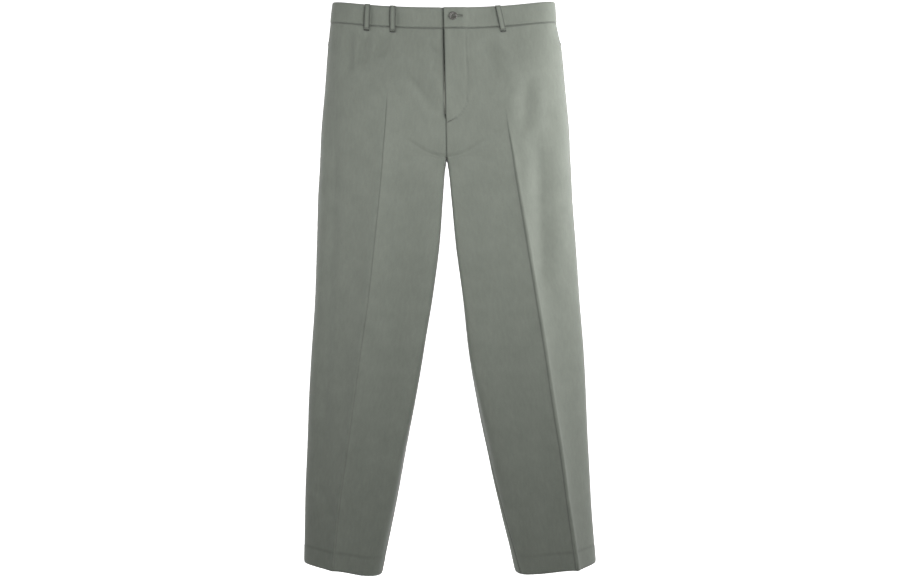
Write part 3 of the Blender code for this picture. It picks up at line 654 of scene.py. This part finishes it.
def meshPiece(name, points, faces, look, uvs, worn):
    mesh = bpy.data.meshes.new(name)
    points = np.asarray(points, float) * mm
    quads = np.asarray(faces, np.int32)
    mesh.vertices.add(len(points))
    mesh.vertices.foreach_set("co", points.astype(np.float32).ravel())
    mesh.loops.add(quads.size)
    mesh.loops.foreach_set("vertex_index", quads.ravel())
    mesh.polygons.add(len(quads))
    mesh.polygons.foreach_set("loop_start", np.arange(0, quads.size, quads.shape[1], dtype=np.int32))
    mesh.polygons.foreach_set("use_smooth", np.full(len(quads), True))
    mesh.update(calc_edges=True)
    layer = mesh.uv_layers.new(name="cloth")
    layer.data.foreach_set("uv", np.asarray(uvs, np.float32)[quads.ravel()].ravel())
    # painted shade and highlight, one value per point, for the cloth material
    mesh.attributes.new("worn", "FLOAT", "POINT").data.foreach_set("value", np.asarray(worn, np.float32).ravel())
    mesh.validate()
    mesh.materials.append(looks[look])
    return newObject(name, mesh)


def clothUvs(grid, grain):
    # metres along the cloth, across from the grain line and down from the top, so a weave keeps its size
    across = lengthAlong(grid, 1)
    across = across - across[:, grain, None]
    down = lengthAlong(grid[:, grain])
    return np.stack([across, np.repeat(-down[:, None], grid.shape[1], axis=1)], axis=2) * mm


def roundedEdge(outer, inner, sides, amount=0.32):
    # draws the two faces together at the named edges, so that no edge of cloth is knife-sharp
    outer, inner = outer.copy(), inner.copy()
    edges = {"top": np.s_[0], "bottom": np.s_[-1], "first": np.s_[:, 0], "last": np.s_[:, -1]}
    for side in sides:
        edge = edges[side]
        step = (inner[edge] - outer[edge]) * amount
        outer[edge] += step
        inner[edge] -= step
    return outer, inner


def clothWall(name, outer, inner, look, grain=0, flip=False, worn=None):
    # two faces of cloth, joined all round their edges
    rows, columns = outer.shape[:2]
    face = np.arange(rows * columns).reshape(rows, columns)
    lining = face + rows * columns
    strips = [
        (face[:-1, :-1], face[1:, :-1], face[1:, 1:], face[:-1, 1:]),
        (lining[:-1, :-1], lining[:-1, 1:], lining[1:, 1:], lining[1:, :-1]),
        (face[0, :-1], face[0, 1:], lining[0, 1:], lining[0, :-1]),
        (face[-1, 1:], face[-1, :-1], lining[-1, :-1], lining[-1, 1:]),
        (face[1:, 0], face[:-1, 0], lining[:-1, 0], lining[1:, 0]),
        (face[:-1, -1], face[1:, -1], lining[1:, -1], lining[:-1, -1]),
    ]
    faces = np.vstack([np.stack(corners, axis=-1).reshape(-1, 4) for corners in strips])
    if flip:
        faces = faces[:, ::-1]
    uvs = clothUvs(outer, grain).reshape(-1, 2)
    points = leant(np.vstack([outer.reshape(-1, 3), inner.reshape(-1, 3)]))
    # painted shade and highlight go on the outer face only
    worn = np.zeros((rows, columns)) if worn is None else worn
    return meshPiece(name, points, faces, look, np.vstack([uvs, uvs]), np.stack([worn, worn * 0]))


def legPanel(side, panel):
    keys = ("points", "outward", "fromHem", "worn")
    # with the painted shade and highlight worked out for the surfaces
    points, outward, fromHem, worn = (surfaces[side][key][seamRow:, panelColumns[panel]] for key in keys)
    turnedUp = smoothstep(hemCut["turnUp"] + 2, hemCut["turnUp"] - 2, fromHem[..., None])
    thick = wallCut["cloth"] + (hemCut["wall"] - wallCut["cloth"]) * turnedUp
    outer = points.copy()
    outer[..., 0] = np.maximum(outer[..., 0], 0.02)
    inner = outer - outward * thick
    inner[..., 0] = np.maximum(inner[..., 0], 0.02)
    outer, inner = roundedEdge(toSide(side, outer), toSide(side, inner), ["bottom"])
    made = clothWall(f"{panel}{side}Panel", outer, inner, "cloth", cut["arcColumns"], side == "Right", worn)
    return standsFor(made, f"{panel}_{side.lower()}")


panels = {panel + side: legPanel(side, panel) for side in ("Left", "Right") for panel in ("front", "back")}
print("leg panels made")

bandCut = {"proud": 0.6, "wall": 2.5, "underlap": 38.0, "under": -1.3, "belly": 0.25, "foot": 0.35}


def waistband(side):
    source = surfaces[side]
    points, outward = source["points"][: seamRow + 1], source["outward"][: seamRow + 1]
    down = np.linspace(0, 1, seamRow + 1)[:, None]
    proud = np.full(points.shape[:2], bandCut["proud"])
    proud = proud + bandCut["belly"] * np.sin(np.pi * down) - bandCut["foot"] * smoothstep(0.93, 1, down)
    signed, signedOut = toSide(side, points), toSide(side, outward)
    grain = 0
    if side == "Right":
        # the band runs on under the other half's end, which carries the buttonhole
        other = {key: surfaces["Left"][key][: seamRow + 1] for key in ("points", "outward")}
        under = [c for c in range(1, sideColumn) if other["points"][0, c, 0] < bandCut["underlap"]][::-1]
        drawn = other["points"] - other["outward"] * flyCut["proud"]
        step = smoothstep(12, 1, np.abs(signed[..., 0]))
        proud = proud * (1 - step) + bandCut["under"] * step
        proud = np.hstack([np.full((seamRow + 1, len(under)), bandCut["under"]), proud])
        signed = np.hstack([drawn[:, under], signed])
        signedOut = np.hstack([other["outward"][:, under], signedOut])
        grain = len(under)
    outer = signed + signedOut * proud[..., None]
    inner = outer - signedOut * bandCut["wall"]
    outer, inner = roundedEdge(outer, inner, ["top", "bottom", "first"], 0.28)
    # painted shade along the band's foot and at its end by the fly
    worn = np.repeat(paintedShadeAndHighlightLevels["bandFoot"] * smoothstep(0.92, 1, down), outer.shape[1], axis=1)
    dark, reach = paintedShadeAndHighlightLevels["bandEnd" + side]
    worn = np.maximum(worn, dark * bell(np.abs(outer[..., 0]), reach) * (outer[..., 1] < 0))
    made = clothWall(f"waistband{side}", outer, inner, "cloth", grain, side == "Right", worn)
    return standsFor(made, f"waistband_{side.lower()}")


bands = {side: waistband(side) for side in ("Left", "Right")}
print("waistband made")


def sampled(grid, r, c):
    r0 = int(min(max(math.floor(r), 0), len(grid) - 2))
    c0 = int(min(max(math.floor(c), 0), grid.shape[1] - 2))
    u, v = r - r0, c - c0
    top = grid[r0, c0] * (1 - v) + grid[r0, c0 + 1] * v
    low = grid[r0 + 1, c0] * (1 - v) + grid[r0 + 1, c0 + 1] * v
    return top * (1 - u) + low * u


def placeOn(x, z, height=0.0):
    # the spot on the fronts' outer face at (x, z), x to the wearer's left, and its outward direction
    side = "Left" if x >= 0 else "Right"
    grid, outward = (surfaces[side][key][:, panelColumns["front"]] for key in ("points", "outward"))
    r, c = np.unravel_index(np.argmin((grid[..., 0] - abs(x)) ** 2 + (grid[..., 2] - z) ** 2), grid.shape[:2])
    r, c = min(max(float(r), 0.6), len(grid) - 1.6), min(max(float(c), 0.6), grid.shape[1] - 1.6)
    for _ in range(6):
        miss = np.array([abs(x), z]) - sampled(grid, r, c)[[0, 2]]
        perRow = (sampled(grid, r + 0.5, c) - sampled(grid, r - 0.5, c))[[0, 2]]
        perColumn = (sampled(grid, r, c + 0.5) - sampled(grid, r, c - 0.5))[[0, 2]]
        step = np.linalg.solve(np.stack([perRow, perColumn], axis=1), miss)
        r, c = r + float(np.clip(step[0], -1.5, 1.5)), c + float(np.clip(step[1], -1.5, 1.5))
    normal = sampled(outward, r, c)
    normal = normal / np.linalg.norm(normal)
    return toSide(side, sampled(grid, r, c) + normal * height), toSide(side, normal)


def asRun(found):
    points, normals = zip(*found)
    return np.array(points), np.array(normals)


def lineOn(spots, height=0.0, gap=1.2):
    # a line over the fronts through (x, z) spots, as points and outward directions
    path = np.asarray(spots, float)
    path = atShares(path, np.linspace(0, 1, max(2, int(lengthAlong(path)[-1] / gap) + 1)))
    return asRun([placeOn(x, z, height) for x, z in path])


threadSizes = ("Step", "Stitch length", "Thread width", "Slant", "Unevenness")


def sewingTree():
    # stitches of one thread laid along a line: each a short rounded bar, turned by Slant from the line's direction
    tree = bpy.data.node_groups.new("sewing", "GeometryNodeTree")
    sizes = [(name, "Float") for name in threadSizes]
    for name, kind in [("Line", "Geometry"), *sizes, ("Seed", "Int"), ("Thread", "Material")]:
        tree.interface.new_socket(name=name, in_out="INPUT", socket_type="NodeSocket" + kind)
    tree.interface.new_socket(name="Stitches", in_out="OUTPUT", socket_type="NodeSocketGeometry")
    given, made = tree.nodes.new("NodeGroupInput").outputs, tree.nodes.new("NodeGroupOutput")
    asCurve = addNode(tree, "GeometryNodeMeshToCurve", Mesh=given["Line"]).outputs["Curve"]
    spaced = addNode(tree, "GeometryNodeResampleCurve", mode="LENGTH", Curve=asCurve, Length=given["Step"])
    along = addNode(tree, "GeometryNodeInputTangent").outputs["Tangent"]
    outward = addNode(tree, "GeometryNodeInputNamedAttribute", data_type="FLOAT_VECTOR", Name="outward")
    turned = addNode(
        tree, "ShaderNodeVectorRotate", rotation_type="AXIS_ANGLE",
        Vector=along, Axis=outward.outputs["Attribute"], Angle=given["Slant"],
    )
    align = addNode(tree, "FunctionNodeAlignRotationToVector", axis="Z", Vector=turned.outputs["Vector"])
    bar = addNode(tree, "GeometryNodeMeshUVSphere", Segments=6, Rings=5, Radius=0.5)
    smooth = addNode(tree, "GeometryNodeSetShadeSmooth", Geometry=bar.outputs["Mesh"])
    chance = addNode(tree, "FunctionNodeRandomValue", data_type="FLOAT", Seed=given["Seed"])
    feed(chance.inputs[2], mathNode(tree, "SUBTRACT", 1, given["Unevenness"]))
    feed(chance.inputs[3], 1)
    length = mathNode(tree, "MULTIPLY", given["Stitch length"], chance.outputs[1])
    size = addNode(tree, "ShaderNodeCombineXYZ", X=given["Thread width"], Y=given["Thread width"], Z=length)
    laid = addNode(
        tree, "GeometryNodeInstanceOnPoints", Points=spaced.outputs["Curve"], Instance=smooth.outputs["Geometry"],
        Rotation=align.outputs["Rotation"], Scale=size.outputs["Vector"],
    )
    real = addNode(tree, "GeometryNodeRealizeInstances", Geometry=laid.outputs["Instances"])
    coloured = addNode(tree, "GeometryNodeSetMaterial", Geometry=real.outputs["Geometry"], Material=given["Thread"])
    feed(made.inputs["Stitches"], coloured.outputs["Geometry"])
    return tree


sewing = sewingTree()
threads = {  # millimetres, then the slant from the line in degrees and the unevenness, 0 to 1
    "lockstitch": (2.9, 2.6, 0.42, 4, 0.12),
    "tack": (0.42, 2.2, 0.42, 84, 0.15),
    "buttonhole": (0.46, 1.9, 0.46, 88, 0.12),
    "coil": (1.05, 3.6, 0.8, 80, 0.0),
    "shank": (0.3, 3.4, 0.5, 0, 0.05),
}
sewnSeed = 11


def sewn(name, runs, kind, look):
    # turns lines over the cloth into real stitches, as one plain mesh
    mesh = bpy.data.meshes.new(name)
    edges, first = [], 0
    for line, _ in runs:
        edges += [(first + i, first + i + 1) for i in range(len(line) - 1)]
        first += len(line)
    mesh.from_pydata((leant(np.vstack([line for line, _ in runs])) * mm).tolist(), edges, [])
    outward = mesh.attributes.new("outward", "FLOAT_VECTOR", "POINT")
    outward.data.foreach_set("vector", np.vstack([normals for _, normals in runs]).astype(np.float32).ravel())
    made = newObject(name, mesh)
    modifier = made.modifiers.new("sewing", "NODES")
    modifier.node_group = sewing
    step, length, width, slant, uneven = threads[kind]
    sizes = zip(threadSizes, (step * mm, length * mm, width * mm, math.radians(slant), uneven))
    values = {**dict(sizes), "Seed": sewnSeed, "Thread": looks[look]}
    for item in sewing.interface.items_tree:
        if item.in_out == "INPUT" and item.name in values:
            modifier[item.identifier] = values[item.name]
    stitched = bpy.data.meshes.new_from_object(made.evaluated_get(bpy.context.evaluated_depsgraph_get()))
    made.modifiers.remove(modifier)
    made.data = stitched
    stitched.name = name
    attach(made, "root")


flyLine = [(flySew["width"], -41.5), (flySew["width"], flySew["bendZ"])]
flyLine += [
    (flySew["width"] * math.cos(a), flySew["bendZ"] - flySew["drop"] * math.sin(a)) for a in np.linspace(0.06, 1.47, 24)
]
sewn("flyStitching", [lineOn(flyLine, 0.05)], "lockstitch", "thread")
tackSpots = {  # short dense bars where the cloth is strained: (x, z) from and to, on the front
    "flyFoot": [(1.5, -212.5), (15, -206)],
    "leftPocketTop": [(217.6, -46), (218.2, -60)],
    "rightPocketTop": [(-216.4, -46), (-217.0, -60)],
    "leftPocketFoot": [(226.6, -212), (227.3, -220)],
    "rightPocketFoot": [(-229.0, -212), (-229.8, -220)],
}
sewn("strainTacks", [lineOn(spots, 0.12, gap=0.6) for spots in tackSpots.values()], "tack", "holeThread")
print("fly stitching and tacks sewn")


loopCut = {"width": 10.5, "wall": 1.6, "tackLift": 0.05}
loopPath = [(-0.6, 1.1), (3, 1.2), (8, 2.3), (16, 3.4), (25, 3.6), (34, 2.9), (41, 1.5), (46, 0.7), (49.5, 0.4)]
loopSection = [  # across the strap: share of the half-width, share of the wall, and how much fuller the middle is
    (-1, 0.5, 0), (-0.985, 0.8, 0), (-0.93, 1, 0), (-0.6, 1, 0.12), (0, 1, 0.2), (0.6, 1, 0.12), (0.93, 1, 0),
    (0.985, 0.8, 0), (1, 0.5, 0), (0.985, 0.2, 0), (0.93, 0, 0), (0, 0, 0), (-0.93, 0, 0), (-0.985, 0.2, 0),
]
loops = [
    # node, side, panel, distance from the centre, lean
    ("belt_loop_front_right_outer", "Right", "front", 140.5, 0),
    ("belt_loop_front_right_inner", "Right", "front", 93, 0),
    ("belt_loop_front_left", "Left", "front", 104, 7),
    ("belt_loop_side_right", "Right", "back", 188, 0),
    ("belt_loop_side_left", "Left", "back", 186, 0),
    ("belt_loop_back_right", "Right", "back", 96, 0),
    ("belt_loop_back_left", "Left", "back", 96, 0),
    ("belt_loop_centre_back", "Left", "back", 0, 0),
]


def beltLoop(node, side, panel, x, slant):
    grid, outward = surfaces[side]["points"], surfaces[side]["outward"]
    if x == 0:
        other = surfaces["Right"]
        grid = np.hstack([grid, toSide("Right", other["points"])[:, -2::-1]])
        outward = np.hstack([outward, toSide("Right", other["outward"])[:, -2::-1]])
    seam = grid[seamRow, :, 0]
    if panel == "front":
        middle = np.interp(x, seam[: sideColumn + 1], np.arange(sideColumn + 1))
    elif x == 0:
        middle = lastColumn
    else:
        middle = np.interp(-x, -seam[sideColumn: lastColumn + 1], np.arange(sideColumn, lastColumn + 1))
    half, wall = loopCut["width"] / 2, loopCut["wall"]
    across, fallen = lengthAlong(grid[seamRow]), lengthAlong(grid[:, int(middle)])
    columnNumbers, rowNumbers = np.arange(len(across)), np.arange(len(grid))
    spot = np.interp(middle, columnNumbers, across)
    rows = []
    for k, (below, height) in enumerate(atShares(roundedPath(loopPath), np.linspace(0, 1, 40))):
        r = np.interp(below, fallen, rowNumbers) if below >= 0 else below / 2.72
        row = []
        for share, wallShare, fuller in loopSection:
            target = spot + share * half * (1 - 0.012 * math.sin(k * 0.7)) + slant * (below - 25) / 50
            c = np.interp(target, across, columnNumbers)
            normal = sampled(outward, r, c)
            up = height + (wall * wallShare + fuller)
            row.append(sampled(grid, r, c) + normal / np.linalg.norm(normal) * up)
        rows.append(row)
    rows = toSide(side, np.array(rows))
    count, around = rows.shape[:2]
    index = np.arange(count * around).reshape(count, around)
    following = np.roll(index, -1, axis=1)
    faces = np.stack([index[:-1], following[:-1], following[1:], index[1:]], axis=-1).reshape(-1, 4)
    lengths = lengthAlong(rows[:, 4])
    girths = lengthAlong(np.vstack([rows[count // 2], rows[count // 2][:1]]))[:around]
    uvs = np.stack([np.tile(girths, count), np.repeat(-lengths, around)], axis=1) * mm
    # painted shadow along the strap's sides and across its lower end
    worn = np.array([[float(smoothstep(0.45, 0.9, abs(row[0]))) for row in loopSection]] * count)
    worn = np.maximum(worn, smoothstep(count - 7, count - 3, np.arange(count))[:, None])
    first, *rest = node.split("_")
    name = first + "".join(word.capitalize() for word in rest)
    made = meshPiece(name, leant(rows.reshape(-1, 3)), faces, "cloth", uvs, worn)
    closing = bmesh.new()
    closing.from_mesh(made.data)
    bmesh.ops.holes_fill(closing, edges=[edge for edge in closing.edges if edge.is_boundary], sides=around)
    bmesh.ops.recalc_face_normals(closing, faces=closing.faces)
    closing.to_mesh(made.data)
    closing.free()
    # a tack across each end
    runs = []
    for k in (2, count - 4):
        direction = np.cross(rows[k + 1][4] - rows[k][4], rows[k][6] - rows[k][2])
        direction /= np.linalg.norm(direction)
        if direction @ (rows[k][4] - rows[k][11]) < 0:
            direction = -direction
        tack = atShares(rows[k][2:7], np.linspace(0, 1, 12)) + direction * loopCut["tackLift"]
        runs.append((tack, np.tile(direction, (12, 1))))
    return standsFor(made, node), runs


loopTacks = []
for row in loops:
    loopMade, runs = beltLoop(*row)
    loopTacks += runs
sewn("loopTacks", loopTacks, "tack", "thread")
print("belt loops made:", len(loops))

buttonCut = {
    "x": 17.0,
    "z": -16.7,
    "profile": [  # from the middle of the face, over the rim, to the middle of the back: radius, height
        (0, 0.95), (2.2, 0.98), (3.9, 1.05), (4.6, 1.25), (5.15, 1.7), (5.7, 2.15), (6.3, 2.35), (6.85, 2.25),
        (7.25, 1.95), (7.5, 1.5), (7.42, 1.0), (7.1, 0.6), (6.3, 0.25), (5.4, 0.05), (0, 0),
    ],
    "sides": 72,
    "hole": 0.85,
    "apart": 1.5,
    "sharpest": 38,  # degrees; a steeper edge is shown sharp
    "threadApart": 0.28,
}


def turnedShape(profile, sides):
    shape = bmesh.new()
    rings = []
    for r, h in profile:
        angles = np.linspace(0, 2 * math.pi, sides, endpoint=False) if r else [0]
        rings.append([shape.verts.new((r * math.cos(a) * mm, r * math.sin(a) * mm, h * mm)) for a in angles])
    for first, second in zip(rings, rings[1:]):
        for k in range(sides):
            n = (k + 1) % sides
            corners = [first[k % len(first)], second[k % len(second)], second[n % len(second)], first[n % len(first)]]
            shape.faces.new(list(dict.fromkeys(corners)))
    bmesh.ops.recalc_face_normals(shape, faces=shape.faces)
    return shape


def asMesh(name, shape):
    mesh = bpy.data.meshes.new(name)
    shape.to_mesh(mesh)
    shape.free()
    return mesh


def waistButton():
    spot, outwards = placeOn(buttonCut["x"], buttonCut["z"], 0.6 + flyCut["proud"] + 0.4)
    apart = buttonCut["apart"]
    made = newObject("waistButton", asMesh("waistButton", turnedShape(buttonCut["profile"], buttonCut["sides"])))
    holes = bmesh.new()
    for u, v in ((-1, -1), (1, -1), (1, 1), (-1, 1)):
        bmesh.ops.create_cone(
            holes, cap_ends=True, segments=24, radius1=buttonCut["hole"] * mm, radius2=buttonCut["hole"] * mm,
            depth=0.008, matrix=Matrix.Translation((u * apart * mm, v * apart * mm, 0)),
        )
    cutter = newObject("holeCutter", asMesh("holeCutter", holes))
    drill = made.modifiers.new("holes", "BOOLEAN")
    drill.object, drill.operation, drill.solver = cutter, "DIFFERENCE", "EXACT"
    drilled = bpy.data.meshes.new_from_object(made.evaluated_get(bpy.context.evaluated_depsgraph_get()))
    made.modifiers.clear()
    bpy.data.objects.remove(cutter)
    turned = np.array(Vector((0, 0, 1)).rotation_difference(Vector(outwards)).to_matrix())
    drilled.transform(Matrix(turned).to_4x4())
    drilled.transform(Matrix.Translation(Vector(leant(spot) * mm)))
    for face in drilled.polygons:
        face.use_smooth = True
    drilled.set_sharp_from_angle(angle=math.radians(buttonCut["sharpest"]))
    made.data = drilled
    drilled.materials.clear()
    drilled.materials.append(looks["button"])
    standsFor(made, "waist_button")
    # thread crossing between the holes, over the face
    runs = []
    for u0, v0, u1, v1 in ((-1, -1, 1, 1), (-1, 1, 1, -1)):
        for shift in (-buttonCut["threadApart"], buttonCut["threadApart"]):
            points = []
            for t in np.linspace(0, 1, 14):
                x, y = (u0 + (u1 - u0) * t) * apart, (v0 + (v1 - v0) * t) * apart
                height = 1.0 + 0.4 * math.sin(math.pi * t) - 0.9 * (abs(t - 0.5) > 0.44)
                points.append([x + shift * v1, y - shift * u1, height])
            points = np.array(points) @ turned.T + spot
            runs.append((points, np.tile(outwards, (len(points), 1))))
    sewn("buttonThread", runs, "shank", "holeThread")


waistButton()

holeCut = {"from": 19.5, "to": 33.0, "z": -15.6, "half": 1.15, "height": 0.75}
holeEnd, holeZ, holeHalf = holeCut["to"] - holeCut["half"], holeCut["z"], holeCut["half"]
oval = [(holeEnd + holeHalf * math.cos(a), holeZ + holeHalf * math.sin(a)) for a in np.linspace(-1, 1, 7) * math.pi / 2]
oval = [(holeCut["from"], holeZ - holeHalf), *oval, (holeCut["from"], holeZ + holeHalf)]
sewn("buttonholeStitching", [lineOn(oval, holeCut["height"] + 0.18, gap=0.5)], "buttonhole", "holeThread")
endBar = [(holeCut["to"] + 0.9, holeZ - 2.0), (holeCut["to"] + 0.9, holeZ + 2.0)]
sewn("buttonholeTack", [lineOn(endBar, holeCut["height"] + 0.2, gap=0.5)], "tack", "holeThread")
print("waist button and buttonhole made")

zipCut = {  # x of each line, its height over the front, and z from and to
    "coil": ((9.3, 11.7), -1.75, (-60, -196)),
    "tape": ((-9, 22), -3.1, (-50, -194)),
}


def zipLines(kind):
    # over the wearer's right front, carried on under the fly
    places, height, ends = zipCut[kind]
    runs = []
    for x in places:
        lift = flyCut["proud"] * float(smoothstep(48, 37, x)) * (x > 0)
        found = [placeOn(x, z) for z in np.linspace(*ends, 120)]
        runs.append(asRun([(point + normal * (height - lift), normal) for point, normal in found]))
    return runs


sewn("zipCoil", zipLines("coil"), "coil", "metal")
sewn("zipTapeStitching", zipLines("tape"), "lockstitch", "thread")
for node, look in (("fly_zip", "zipTape"), ("fly_zip_slider", "metal")):
    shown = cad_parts[node]
    shown.data.materials.clear()
    shown.data.materials.append(looks[look])
print("zip finished")

bagCut = {
    "shape": [(0.25, 118), (3, 128), (8, 136), (12, 138), (13.2, 120), (13.8, 84)],  # CAD row, reach from the side seam
    "crotch": 13,  # the CAD row at the crotch
    "rowsBelow": 10.3,  # rows here for each CAD row below that
    "mouth": 3.0,
    "front": 1.7,
    "back": 3.0,
    "puff": 0.35,
    "soft": 0.22,
}


def pocketBag(side):
    grid, outward = (surfaces[side][key][seamRow:, panelColumns["front"]] for key in ("points", "outward"))
    crotch, mouth = bagCut["crotch"], bagCut["mouth"]
    perRow = cut["riseRows"] / crotch
    outer, inner = [], []
    for k, share in enumerate(np.concatenate([np.linspace(0.25, 12, 40), np.linspace(12.1, 13.8, 14)])):
        r = share * perRow if share <= crotch else cut["riseRows"] + (share - crotch) * bagCut["rowsBelow"]
        reach = np.interp(share, *zip(*bagCut["shape"]))
        line = np.array([sampled(grid, r, c) for c in range(sideColumn + 1)])
        along = lengthAlong(line[::-1])
        outerRow, innerRow = [], []
        for t in np.linspace(0, 1, 44):
            c = sideColumn - np.interp(mouth + t * (reach - mouth), along, np.arange(len(along)))
            base, normal = sampled(grid, r, c), sampled(outward, r, c)
            normal = normal / np.linalg.norm(normal)
            swell = math.sin(math.pi * t)
            soft = bagCut["soft"] * math.sin(t * 11 + share * 0.6) * math.sin(share * 0.9 + t * 3) * swell
            puffed = bagCut["puff"] * swell * math.sin(math.pi * min(1, k / 50))
            outerRow.append(base - normal * (wallCut["cloth"] + bagCut["front"] + soft * 0.4))
            innerRow.append(base - normal * (wallCut["cloth"] + bagCut["back"] + puffed + soft))
        outer.append(outerRow)
        inner.append(innerRow)
    outer, inner = toSide(side, np.array(outer)), toSide(side, np.array(inner))
    outer, inner = roundedEdge(outer, inner, ["top", "bottom", "first", "last"], 0.3)
    made = clothWall(f"pocketBag{side}", outer, inner, "pocketing", flip=side == "Right")
    standsFor(made, f"pocket_bag_{side.lower()}")
    # the bag's seam, sewn round its free edges on the inside
    away = inner - outer
    edge, away = (np.vstack([grid[1:-3, -4], grid[-4, -5:4:-1]]) for grid in (inner, away))
    away = away / np.linalg.norm(away, axis=1, keepdims=True)
    return made, (edge + away * 0.1, away)


bagRuns = []
for side in ("Left", "Right"):
    bag, run = pocketBag(side)
    bagRuns.append(run)
sewn("bagStitching", bagRuns, "lockstitch", "thread")
print("pocket bags made")

studio = {  # metres; the glow rises from near to far behind the trousers
    "cameraX": 0.0106,
    "cameraZ": -0.511,
    "distance": 3.0,
    "frameWidth": 1.674,
    "floorZ": -1.45,
    "floorReach": 7.0,
    "wallFrom": 3.4,
    "wallRound": 1.6,
    "wallHeight": 5.0,
    "near": 0.6,
    "far": 2.4,
    "nearGlow": 0.04,
    "shownGlow": 0.62,
    "farGlow": 1.05,
    "worldGlow": 0.05,
}
camera = newObject("camera", bpy.data.cameras.new("camera"))
camera.data.sensor_width = 36
camera.data.lens = 36 * studio["distance"] / studio["frameWidth"]
camera.location = (studio["cameraX"], -studio["distance"], studio["cameraZ"])
camera.rotation_euler = (math.radians(90), 0, 0)
bpy.context.scene.camera = camera

softboxes = [
    # name, place, aim, size, watts, spread in degrees
    ("frontBox", (0.55, -1.3, -0.2), (0, 0, -0.1), 0.6, 5.1, 110),
    ("fillBox", (0.0, -1.3, -0.4), (0, 0, -0.2), 0.6, 1.4, 110),
    ("upperLeftBox", (0.9, -0.8, 0.6), (0, 0, -0.2), 0.5, 1.5, 110),
    ("leftEdgeBox", (1.6, 0.0, 0.15), (0, 0, -0.1), 0.8, 13, 110),
    ("rightBox", (-1.6, -0.6, 0.0), (0, 0, -0.3), 0.8, 4.2, 90),
    ("backLeftBox", (1.5, 2.0, 0.7), (0, 0, -0.2), 1.0, 13, 180),
    ("backRightBox", (-1.5, 2.0, 0.7), (0, 0, -0.2), 1.0, 13, 180),
]
for name, place, aim, size, watts, spread in softboxes:
    lamp = bpy.data.lights.new(name, "AREA")
    lamp.shape = "RECTANGLE"
    lamp.size = lamp.size_y = size
    lamp.energy, lamp.spread = watts, math.radians(spread)
    lampObject = newObject(name, lamp)
    lampObject.location = place
    lampObject.rotation_euler = (Vector(aim) - Vector(place)).to_track_quat("-Z", "Y").to_euler()

world = bpy.data.worlds.new("studio")
bpy.context.scene.world = world
world.use_nodes = True
seen = world.node_tree.nodes["Background"]
seen.inputs["Color"].default_value = (1, 1, 1, 1)
seen.inputs["Strength"].default_value = 1
lit = addNode(world.node_tree, "ShaderNodeBackground", Color=(1, 1, 1, 1), Strength=studio["worldGlow"])
rayKind = addNode(world.node_tree, "ShaderNodeLightPath")
chooser = addNode(world.node_tree, "ShaderNodeMixShader", Fac=rayKind.outputs["Is Camera Ray"])
feed(chooser.inputs[1], lit.outputs["Background"])
feed(chooser.inputs[2], seen.outputs["Background"])
feed(world.node_tree.nodes["World Output"].inputs["Surface"], chooser.outputs["Shader"])


def sweep():
    # a pale floor that curves up into a wall far behind
    reach, start, bend = studio["floorReach"], studio["wallFrom"], studio["wallRound"]
    profile = [(-reach, 0), (start, 0)]
    profile += [(start + bend * math.sin(a), bend - bend * math.cos(a)) for a in np.linspace(0.1, math.pi / 2, 14)]
    profile.append((start + bend, studio["wallHeight"]))
    mesh = bpy.data.meshes.new("floor")
    points = [(x, y, z + studio["floorZ"]) for y, z in profile for x in (-reach, reach)]
    faces = [(2 * i, 2 * i + 1, 2 * i + 3, 2 * i + 2) for i in range(len(profile) - 1)]
    mesh.from_pydata(points, [], faces)
    for face in mesh.polygons:
        face.use_smooth = True
    paint, tree, shader = newMaterial("palePaper", (0.93, 0.93, 0.93), 0.9, Emission_Color=(1, 1, 1, 1))
    depthBehind = addNode(tree, "ShaderNodeSeparateXYZ", Vector=objectPlace(tree)).outputs["Y"]
    lights, shows = (
        mapped(
            tree, depthBehind, interpolation_type="SMOOTHSTEP",
            From_Min=studio["near"], From_Max=studio["far"], To_Min=studio[near], To_Max=studio["farGlow"],
        )
        for near in ("nearGlow", "shownGlow")
    )
    # the paper shows pale, and yet hardly lights the cloth from below
    ray = addNode(tree, "ShaderNodeLightPath").outputs["Is Camera Ray"]
    glow = addNode(tree, "ShaderNodeMix", Factor=ray, A=lights, B=shows)
    feed(shader.inputs["Emission Strength"], glow.outputs["Result"])
    mesh.materials.append(paint)
    newObject("floor", mesh)


sweep()
bpy.context.scene.view_settings.view_transform = "Standard"
bpy.context.scene.view_settings.look = "None"
print("studio set")
